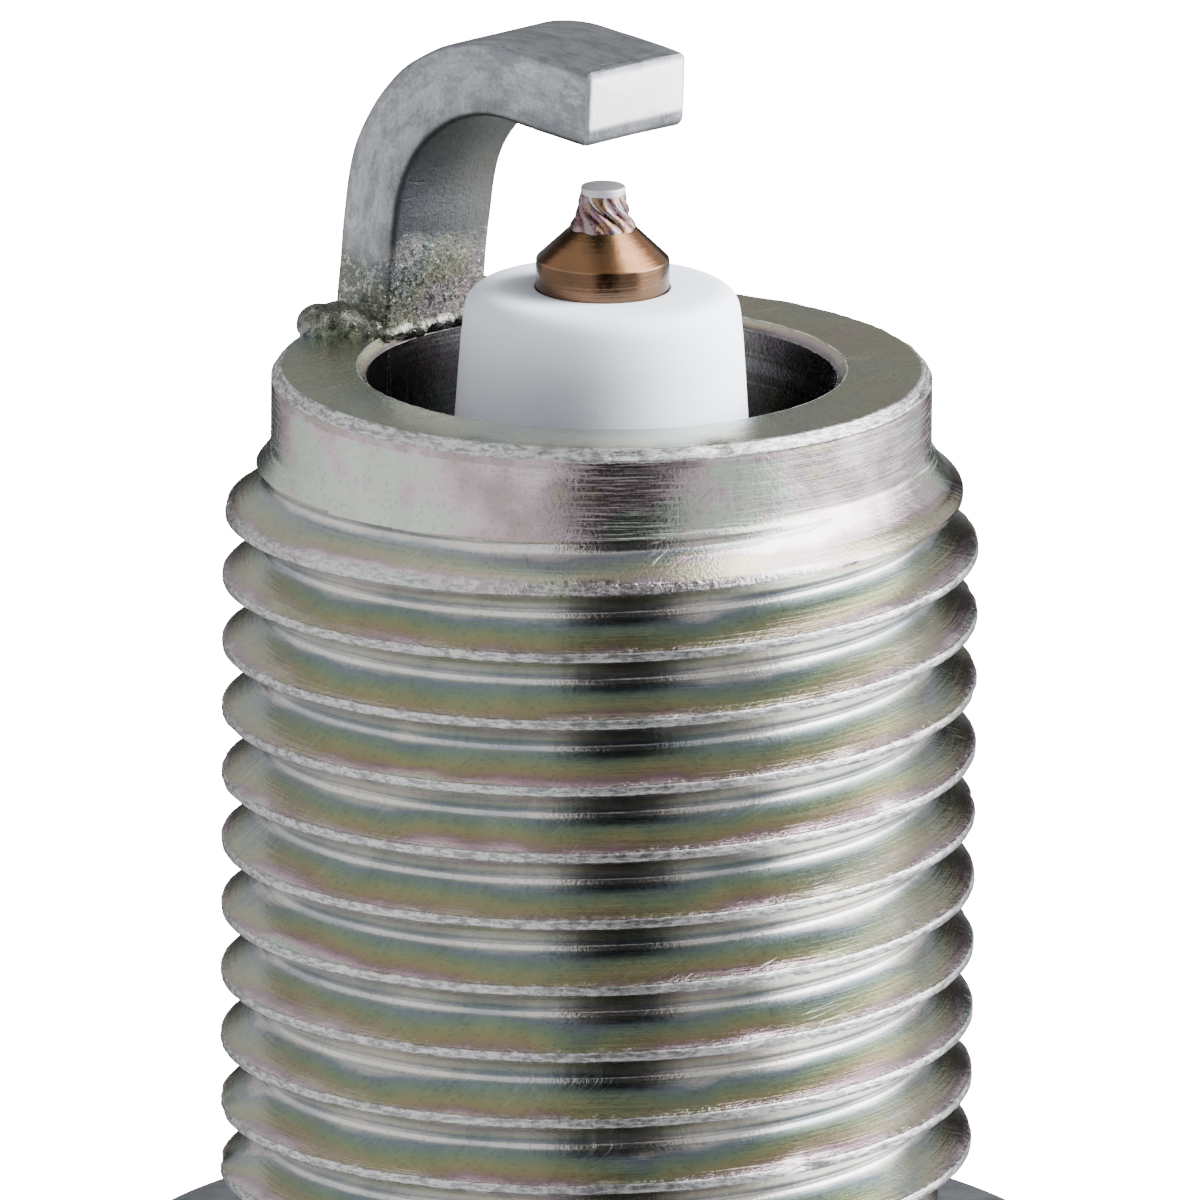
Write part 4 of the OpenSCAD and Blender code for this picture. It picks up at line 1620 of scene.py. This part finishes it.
    def build_flash(self, finish: bpy.types.Material) -> None:
        """Builds the metal squeezed out round the strap's foot, as one lumpy skin.

        Args:
            finish: The weld flash material.
        """
        lay = self.layout
        foot = lay.foot_x + self.thick / 2
        half = lay.strap_half
        rng = np.random.default_rng(self.seed + 1)
        lumps: list[tuple[float, float, float, float, float, float]] = [
            (foot - 0.26, -half - 0.76, 0.14, 0.40, 0.42, 0.40),
            (foot - 0.10, -half - 0.44, 0.14, 0.42, 0.44, 0.42),
            (foot + 0.12, -half - 0.26, 0.10, 0.40, 0.40, 0.36),
            (foot + 0.34, -half - 0.20, 0.06, 0.38, 0.34, 0.28),
            (foot + 0.00, -half - 0.05, 0.08, 0.72, 0.26, 0.30),
            (foot - 0.05, half + 0.16, 0.08, 0.58, 0.30, 0.30),
            (foot + 0.22, half + 0.40, 0.16, 0.30, 0.28, 0.34),
        ]
        inner = foot + self.thick / 2
        for i in range(15):
            y = -half + 2 * half * i / 14
            size = rng.uniform(0.13, 0.21)
            lumps.append((inner + 0.05 + rng.uniform(-0.03, 0.05), y, 0.02, size, 0.2, size))
        for i in range(11):
            y = -half + 2 * half * i / 10
            size = rng.uniform(0.12, 0.18)
            lumps.append((lay.foot_x - 0.02, y, 0.0, size, 0.22, size * 1.1))
        for _ in range(self.crumbs):
            y = rng.uniform(-half - 0.7, -half + 0.5)
            size = rng.uniform(0.05, 0.12)
            x = foot + rng.uniform(-0.5, 0.75)
            lumps.append((x, y, rng.uniform(0.0, 0.28), size, size, size))
        parts: list[bpy.types.Object] = []
        for x, y, z, wide, deep, tall in lumps:
            Bench.clear()
            bpy.ops.mesh.primitive_ico_sphere_add(subdivisions=3, radius=MM)
            part = bpy.context.object
            bpy.ops.object.mode_set(mode="EDIT")
            bpy.ops.transform.resize(value=(wide, deep, tall))
            bpy.ops.transform.translate(value=(x * MM, y * MM, (lay.end_z + z) * MM))
            bpy.ops.object.mode_set(mode="OBJECT")
            parts.append(part)
        Bench.clear()
        for part in parts:
            part.select_set(True)
        bpy.context.view_layer.objects.active = parts[0]
        bpy.ops.object.join()
        piece = parts[0]
        piece.name = piece.data.name = "WeldFlash"
        Bench.modify(piece, "REMESH", mode="VOXEL", voxel_size=self.voxel * MM)
        Bench.modify(piece, "SMOOTH", factor=0.5, iterations=4)
        points = Bench.points(piece)
        reach = np.hypot(points[:, 0], points[:, 1])
        above = points[:, 2] > lay.end_z + 0.02
        limit = np.minimum(reach, np.where(above, self.overhang_r, self.skirt_r))
        points[:, :2] *= (limit / reach)[:, None]
        points[:, 2] = np.maximum(points[:, 2], lay.end_z - 0.22)
        Bench.move(piece, points)
        Bench.settle(piece, 180.0)
        Bench.mark(piece, Mark.WEAR, np.zeros(len(piece.data.vertices)))
        self.finish_piece(piece, Body.PLUG, "ground_weld", "weld_flash", finish)


@dataclass
class CentreElectrode(SubAssembly):
    """The rod with its turned cone, the laser weld and the fine wire tip."""

    rod_r: float = 1.22
    cone_top_r: float = 0.6
    lobes: int = 9

    def build_rod(self, finish: bpy.types.Material) -> None:
        """Builds the rod with its head and the hollow for its copper core.

        Args:
            finish: The tinted alloy material.
        """
        lay = self.layout
        shoulder = lay.nose_top + 0.54
        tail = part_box("centre_electrode")[0].z / MM
        core_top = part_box("copper_core")[1].z / MM
        corners = [
            (0.0, lay.rod_top, 0.0),
            (self.cone_top_r, lay.rod_top, 0.03),
            (self.rod_r, shoulder, 0.05),
            (self.rod_r, 4.2, 0.0),
            (1.95, 3.5, 0.1),
            (1.95, tail + 1.0, 0.1),
            (1.2, tail + 1.0, 0.05),
            (1.2, tail, 0.1),
            (0.75, tail, 0.0),
            (0.75, core_top - 0.9, 0.0),
            (0.25, core_top, 0.0),
            (0.0, core_top, 0.0),
        ]
        outline = Outline.divided(Outline.rounded(corners, 4), 2.0)
        piece = Bench.turned("CentreElectrode", outline, 128)
        below = shoulder - Bench.points(piece)[:, 2]
        Bench.mark(piece, Mark.DEPTH, np.clip(below / 0.04, 0.0, 1.0))
        self.finish_piece(piece, Body.PLUG, "centre_electrode", "rod_alloy", finish)

    def build_weld(self, finish: bpy.types.Material) -> None:
        """Builds the flared ring of slanting nuggets between rod and tip.

        Args:
            finish: The laser weld material.
        """
        lay = self.layout
        rows, columns = 34, 181
        share = np.linspace(0.0, 1.0, rows)[:, None]
        turn = np.linspace(0.0, TURN, columns)[None, :]
        base = lay.rod_top - 0.02
        height = base + (lay.weld_top - base) * share + 0 * turn
        places, widths = [0, 0.12, 0.3, 0.55, 0.8, 1.0], [0.61, 0.575, 0.50, 0.452, 0.432, 0.415]
        flare = np.interp(share[:, 0], places, widths)
        slant = turn + 0.62 * np.sin(np.pi * (share - 0.5)) + 0.12 * share
        uneven = 0.25 * np.sin(2 * turn + 1.3) + 0.18 * np.sin(3 * turn + 0.2)
        wave = np.abs(np.sin(slant * self.lobes / 2 + uneven))
        fade = np.sin(np.pi * np.clip(share * 0.94 + 0.05, 0, 1)) ** 0.6
        radius = flare[:, None] + (wave**0.6 - 0.72) * 0.10 * fade
        valley = np.clip(1.0 - wave * 2.2, 0, 1) * fade
        inner = np.zeros((1, columns))
        radius = np.vstack([inner, radius[:1], radius, radius[-1:] - 0.03, inner])
        height = np.vstack([height[:1], height[:1], height, height[-1:] + 0.01, height[-1:] + 0.01])
        valley = np.vstack([valley[:1] * 0, valley[:1], valley, valley[-1:], valley[-1:] * 0])
        piece = Bench.wrapped("TipWeld", radius, height)
        Bench.mark(piece, Mark.DEPTH, valley)
        Bench.settle(piece, 60.0)
        self.finish_piece(piece, Body.PLUG, "tip_weld", "laser_weld", finish)

    def build_tip(self, finish: bpy.types.Material) -> None:
        """Builds the fine wire tip.

        Args:
            finish: The bright metal material.
        """
        lay = self.layout
        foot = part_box("iridium_tip")[0].z / MM
        radius = lay.tip_r + 0.03
        corners = [(0.0, lay.tip_top, 0.0), (radius, lay.tip_top, 0.035)]
        corners += [(radius, foot, 0.02), (0.0, foot, 0.0)]
        piece = Bench.turned("FineWireTip", Outline.divided(Outline.rounded(corners, 4), 0.1), 96)
        self.finish_piece(piece, Body.PLUG, "iridium_tip", "iridium", finish)


@dataclass
class Terminal(SubAssembly):
    """The threaded stud at the rear and the removable nut on it."""

    stud_pitch: float = 0.7
    flutes: int = 44

    def build_stud(self, finish: bpy.types.Material) -> None:
        """Builds the stud with its glass-held shank, collar and screw thread.

        Args:
            finish: The terminal steel material.
        """
        lay = self.layout
        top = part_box("terminal_stud")[1].z / MM
        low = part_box("terminal_stud")[0].z / MM
        corners = [
            (0.0, top, 0.0),
            (1.5, top, 0.1),
            (1.82, top - 0.4, 0.1),
            (1.82, lay.rear_z - 0.02, 0.0),
            (2.9, lay.rear_z - 0.02, 0.1),
            (2.9, lay.rear_z - 0.9, 0.1),
            (1.6, lay.rear_z - 0.9, 0.05),
        ]
        outline = Outline.rounded(corners, 4)
        z = lay.rear_z - 1.2
        while z > low + self.stud_pitch:
            for drop, reach in ((0.0, 1.55), (0.12, 1.6), (0.3, 1.92), (0.4, 1.92), (0.58, 1.6)):
                outline.append((reach, z - drop, 1.0 if reach > 1.9 else 0.0))
            z -= self.stud_pitch
        outline += [(1.55, z, 0.0), (1.5, low + 0.12, 0.5), (1.35, low, 0.5), (0.0, low, 0.0)]
        piece = Bench.turned("TerminalStud", Outline.divided(outline, 1.5), 96)
        self.finish_piece(piece, Body.PLUG, "terminal_stud", "terminal_steel", finish)

    def build_nut(self, finish: bpy.types.Material) -> None:
        """Builds the nut: a knurled base, a groove for the cap's spring and a rounded head.

        Args:
            finish: The terminal steel material.
        """
        lay = self.layout
        radius, top, low = lay.nut_r, lay.nut_top, lay.nut_bottom
        corners = [
            (2.0, top, 0.05),
            (radius - 0.05, top, 0.15),
            (radius - 0.05, top - 0.5, 0.05),
            (radius, top - 0.6, 0.05),
            (radius, top - 2.0, 0.05),
            (radius - 0.05, top - 2.1, 0.05),
            (radius - 0.05, top - 2.6, 0.15),
            (2.6, top - 3.1, 0.15),
            (2.6, top - 4.0, 0.15),
            (radius, top - 4.5, 0.15),
            (radius, low + 0.9, 0.5),
            (2.2, low, 0.3),
            (0.0, low, 0.0),
            (0.0, low + 0.6, 0.0),
            (2.0, low + 0.6, 0.1),
        ]
        outline = Outline.divided(Outline.rounded(corners, 5), 0.45)
        piece = Bench.turned("TerminalNut", outline, 264)
        points = Bench.points(piece)
        turn = np.arctan2(points[:, 1], points[:, 0])
        reach = np.hypot(points[:, 0], points[:, 1])
        below_rim = np.clip((top - 0.55 - points[:, 2]) / 0.12, 0, 1)
        above_groove = np.clip((points[:, 2] - top + 2.05) / 0.12, 0, 1)
        band = below_rim * above_groove
        flute = 0.5 - 0.5 * np.cos(self.flutes * turn)
        cut = np.where(reach > radius - 0.2, 0.12 * flute * band, 0.0)
        points[:, :2] *= ((reach - cut) / np.maximum(reach, 1e-6))[:, None]
        Bench.move(piece, points)
        self.finish_piece(piece, Body.NUT, "terminal_nut", "terminal_steel", finish)


@dataclass
class Internals:
    """The sealed pieces inside the insulator and shell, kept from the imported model."""

    finishes: dict[str, Finish] = field(default_factory=dict)

    def dress(self) -> None:
        """Gives each kept node its own finish."""
        built = {finish: finish.build() for finish in dict.fromkeys(self.finishes.values())}
        for node, finish in self.finishes.items():
            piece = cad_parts[node]
            piece.data.materials.clear()
            piece.data.materials.append(built[finish])
            log.info("%s dressed in %s", node, finish.name)


@dataclass(frozen=True)
class Studio:
    """Floor, lights and camera."""

    floor_z: float
    distance: float = 450.0
    rise: float = 118.41
    look_down: float = 0.26648
    roll: float = 0.00787
    lens: float = 764.9
    facing: float = -45.0
    gap: float = 0.04
    left: float = 0.92
    right: float = 0.68
    key: float = 9.0
    back: float = 0.30
    front: float = 0.3
    table: float = 0.75
    ceiling: float = 0.36

    def place_camera(self, aim_z: float) -> None:
        """Stands the camera well back, looking a little down on the firing end.

        Args:
            aim_z: Height of the shell's end face.
        """
        side = math.radians(self.facing)
        out = Vector((math.cos(side), math.sin(side), 0.0))
        right = Vector((-out.y, out.x, 0.0))
        ahead = (-out * math.cos(self.look_down)) - Vector((0.0, 0.0, math.sin(self.look_down)))
        up = right.cross(ahead)
        turned_right = right * math.cos(self.roll) + up * math.sin(self.roll)
        turned_up = up * math.cos(self.roll) - right * math.sin(self.roll)
        eye = out * self.distance + Vector((0.0, 0.0, aim_z + self.rise))
        data = bpy.data.cameras.new("Camera")
        data.lens = self.lens
        data.clip_start, data.clip_end = 0.01, 20.0
        camera = bpy.data.objects.new("Camera", data)
        turn = Matrix((turned_right, turned_up, -ahead)).transposed().to_4x4()
        camera.matrix_world = Matrix.Translation(eye * MM) @ turn
        bpy.context.scene.collection.objects.link(camera)
        bpy.context.scene.camera = camera

    def lay_floor(self) -> None:
        """Lays a plain pale floor under the object."""
        Bench.clear()
        bpy.ops.mesh.primitive_plane_add(size=12.0, location=(0.0, 0.0, self.floor_z * MM - 0.0001))
        floor = bpy.context.object
        floor.name = floor.data.name = "Floor"
        bpy.ops.object.transform_apply(location=True)
        made = bpy.data.materials.new("Floor")
        made.use_nodes = True
        graph = Graph(made.node_tree)
        shader = made.node_tree.nodes["Principled BSDF"]
        shader.inputs["Base Color"].default_value = (0.9, 0.9, 0.9, 1.0)
        shader.inputs["Roughness"].default_value = 0.9
        shader.inputs["Emission Color"].default_value = (1.0, 1.0, 1.0, 1.0)
        path = graph.node("ShaderNodeLightPath")
        seen = graph.times(path.outputs["Is Camera Ray"], 20.0)
        graph.tree.links.new(seen, shader.inputs["Emission Strength"])
        floor.data.materials.append(made)
        floor.visible_glossy = False

    def light_room(self) -> None:
        """Lights the room with two tall soft panels, a dim gap between them and a grey ceiling."""
        world = bpy.data.worlds.new("Room")
        bpy.context.scene.world = world
        world.use_nodes = True
        graph = Graph(world.node_tree)
        back = world.node_tree.nodes["Background"]
        toward = graph.node("ShaderNodeTexCoord").outputs["Generated"]
        feeds = {"Vector": toward, "Rotation": (0.0, 0.0, -math.radians(self.facing))}
        turned_to = graph.node("ShaderNodeMapping", feeds, vector_type="VECTOR")
        split = graph.node("ShaderNodeSeparateXYZ", {0: turned_to.outputs["Vector"]})
        turn = graph.math("ARCTAN2", split.outputs["Y"], split.outputs["X"])
        around = graph.times(turn, 180 / math.pi)
        rise = split.outputs["Z"]
        left = graph.fade(around, -13.5, -11.5)
        left = graph.times(left, graph.spread(around, -176.0, -168.0, 0.5, 1.0))
        left = graph.times(left, graph.spread(around, -150.0, -95.0, 0.6, 1.0))
        dim = graph.times(graph.fade(around, -152.0, -146.0), graph.spread(rise, 0.06, 0.16, 0.94, 0.0))
        left = graph.times(left, graph.minus(1.0, dim))
        right = graph.window(around, 26.0, 29.0, 152.0, 156.0)
        across = graph.window(around, 58.0, 76.0, 106.0, 132.0)
        upright = graph.window(rise, -0.4, 0.15, 0.9, 0.98)
        key = graph.times(across, upright)
        behind = graph.spread(around, 168.0, 173.0)
        sides: Feed = self.gap
        for mask, level in ((left, self.left), (right, self.right), (key, self.key), (behind, self.back)):
            sides = graph.plus(sides, graph.times(mask, level))
        table = graph.fade(rise, -0.62, -0.42)
        sides = graph.math("MAXIMUM", sides, graph.times(table, self.table))
        top = graph.spread(rise, 0.9, 0.97)
        kept = graph.times(sides, graph.minus(1.0, top))
        total = graph.plus(kept, graph.times(top, self.ceiling))
        ahead = graph.fade(graph.math("ABSOLUTE", around), 80.0, 100.0)
        strip = graph.window(rise, 0.925, 0.945, 0.965, 0.98)
        total = graph.plus(total, graph.times(graph.times(ahead, strip), self.front))
        path = graph.node("ShaderNodeLightPath")
        seen = graph.times(path.outputs["Is Camera Ray"], 24.0)
        graph.tree.links.new(graph.plus(total, seen), back.inputs["Strength"])
        back.inputs["Color"].default_value = (1.0, 1.0, 1.0, 1.0)

    def hang_lamps(self) -> None:
        """Hangs two large soft lamps that light the matte surfaces."""
        for name, around, rise, power, size in (
            ("Right lamp", self.facing + 97.0, 25.0, 42.0, 0.5),
            ("Left lamp", self.facing - 60.0, 30.0, 0.6, 0.6),
        ):
            data = bpy.data.lights.new(name, "AREA")
            data.shape = "SQUARE"
            data.size = size
            data.energy = power
            lamp = bpy.data.objects.new(name, data)
            side, up = math.radians(around), math.radians(rise)
            away = Vector((math.cos(side) * math.cos(up), math.sin(side) * math.cos(up), math.sin(up)))
            lamp.location = away * 0.9
            lamp.rotation_mode = "QUATERNION"
            lamp.rotation_quaternion = (-away).to_track_quat("-Z", "Y")
            lamp.visible_glossy = False
            bpy.context.scene.collection.objects.link(lamp)


class Palette:
    """Finishes whose tones are set once, by the metal or filling they stand for."""

    GASKET_STEEL = PressedFinish(
        "Gasket steel",
        light=(0.44, 0.47, 0.51, 1.0),
        dark=(0.24, 0.27, 0.31, 1.0),
        metal=1.0,
        rough=0.28,
    )
    FINE_WIRE = TurnedFinish(
        "Fine wire",
        light=(0.95, 0.92, 0.96, 1.0),
        dark=(0.76, 0.70, 0.76, 1.0),
        edge=(0.95, 0.93, 0.95, 1.0),
        lines=16000.0,
        depth=0.000001,
        rough=0.5,
    )
    TERMINAL_STEEL = TurnedFinish(
        "Terminal steel",
        light=(0.62, 0.62, 0.60, 1.0),
        dark=(0.42, 0.42, 0.42, 1.0),
        edge=(0.8, 0.8, 0.78, 1.0),
        lines=8000.0,
    )
    COPPER = PressedFinish(
        "Copper", light=(0.72, 0.36, 0.22, 1.0), dark=(0.50, 0.22, 0.12, 1.0), metal=1.0, rough=0.25
    )
    PACKING_STEEL = PressedFinish(
        "Packing steel", light=(0.45, 0.45, 0.46, 1.0), dark=(0.25, 0.25, 0.27, 1.0), metal=1.0, rough=0.3
    )
    SEAL_GLASS = PressedFinish(
        "Seal glass",
        light=(0.20, 0.17, 0.13, 1.0),
        dark=(0.08, 0.07, 0.06, 1.0),
        metal=0.3,
        rough=0.2,
        fine=7000.0,
        specks=0.6,
    )
    RESISTOR_FILLING = PressedFinish(
        "Resistor filling",
        light=(0.10, 0.10, 0.10, 1.0),
        dark=(0.03, 0.03, 0.03, 1.0),
        metal=0.0,
        rough=0.6,
        fine=8000.0,
        specks=0.5,
    )
    TALC = PressedFinish(
        "Talc",
        light=(0.72, 0.71, 0.68, 1.0),
        dark=(0.56, 0.55, 0.52, 1.0),
        metal=0.0,
        rough=0.8,
        fine=12000.0,
        specks=0.3,
    )


def main() -> None:
    """Builds the plug piece by piece, dresses it and sets the studio."""
    logging.basicConfig(level=logging.INFO, format="%(name)s %(message)s")
    layout = Layout.measure()
    Effect.build_all()
    shell = ThreadedShell(layout)
    shell.build(PlatedFinish("Plated steel", end_z=layout.end_z).build())
    gasket = Gasket(layout)
    gasket.build(Palette.GASKET_STEEL.build())
    insulator = Insulator(layout)
    insulator.build(CeramicFinish("Alumina").build())
    strap = GroundStrap(layout)
    blasted = BlastedFinish(
        "Blasted alloy",
        foot_z=layout.end_z,
        arm=strap.arm_length(),
        half=layout.strap_half,
        thick=strap.thick,
    )
    strap.build_strap(blasted.build())
    strap.build_flash(FlashFinish("Weld flash").build())
    centre = CentreElectrode(layout)
    centre.build_rod(TintFinish("Tinted alloy").build())
    centre.build_weld(NuggetFinish("Laser weld").build())
    centre.build_tip(Palette.FINE_WIRE.build())
    terminal = Terminal(layout)
    steel = Palette.TERMINAL_STEEL.build()
    terminal.build_stud(steel)
    terminal.build_nut(steel)
    for group in (shell, gasket, insulator, strap, centre, terminal):
        for piece in group.pieces:
            log.info("%s: %s, %d faces", type(group).__name__, piece.name, len(piece.data.polygons))
    internals = Internals(
        {
            "copper_core": Palette.COPPER,
            "lower_glass_seal": Palette.SEAL_GLASS,
            "upper_glass_seal": Palette.SEAL_GLASS,
            "resistor": Palette.RESISTOR_FILLING,
            "front_packing_washer": Palette.PACKING_STEEL,
            "lower_ring_packing": Palette.PACKING_STEEL,
            "upper_ring_packing": Palette.PACKING_STEEL,
            "talc_powder": Palette.TALC,
        }
    )
    internals.dress()
    studio = Studio(floor_z=layout.nut_bottom)
    studio.lay_floor()
    studio.light_room()
    studio.hang_lamps()
    studio.place_camera(layout.end_z)


if __name__ == "__main__":
    main()
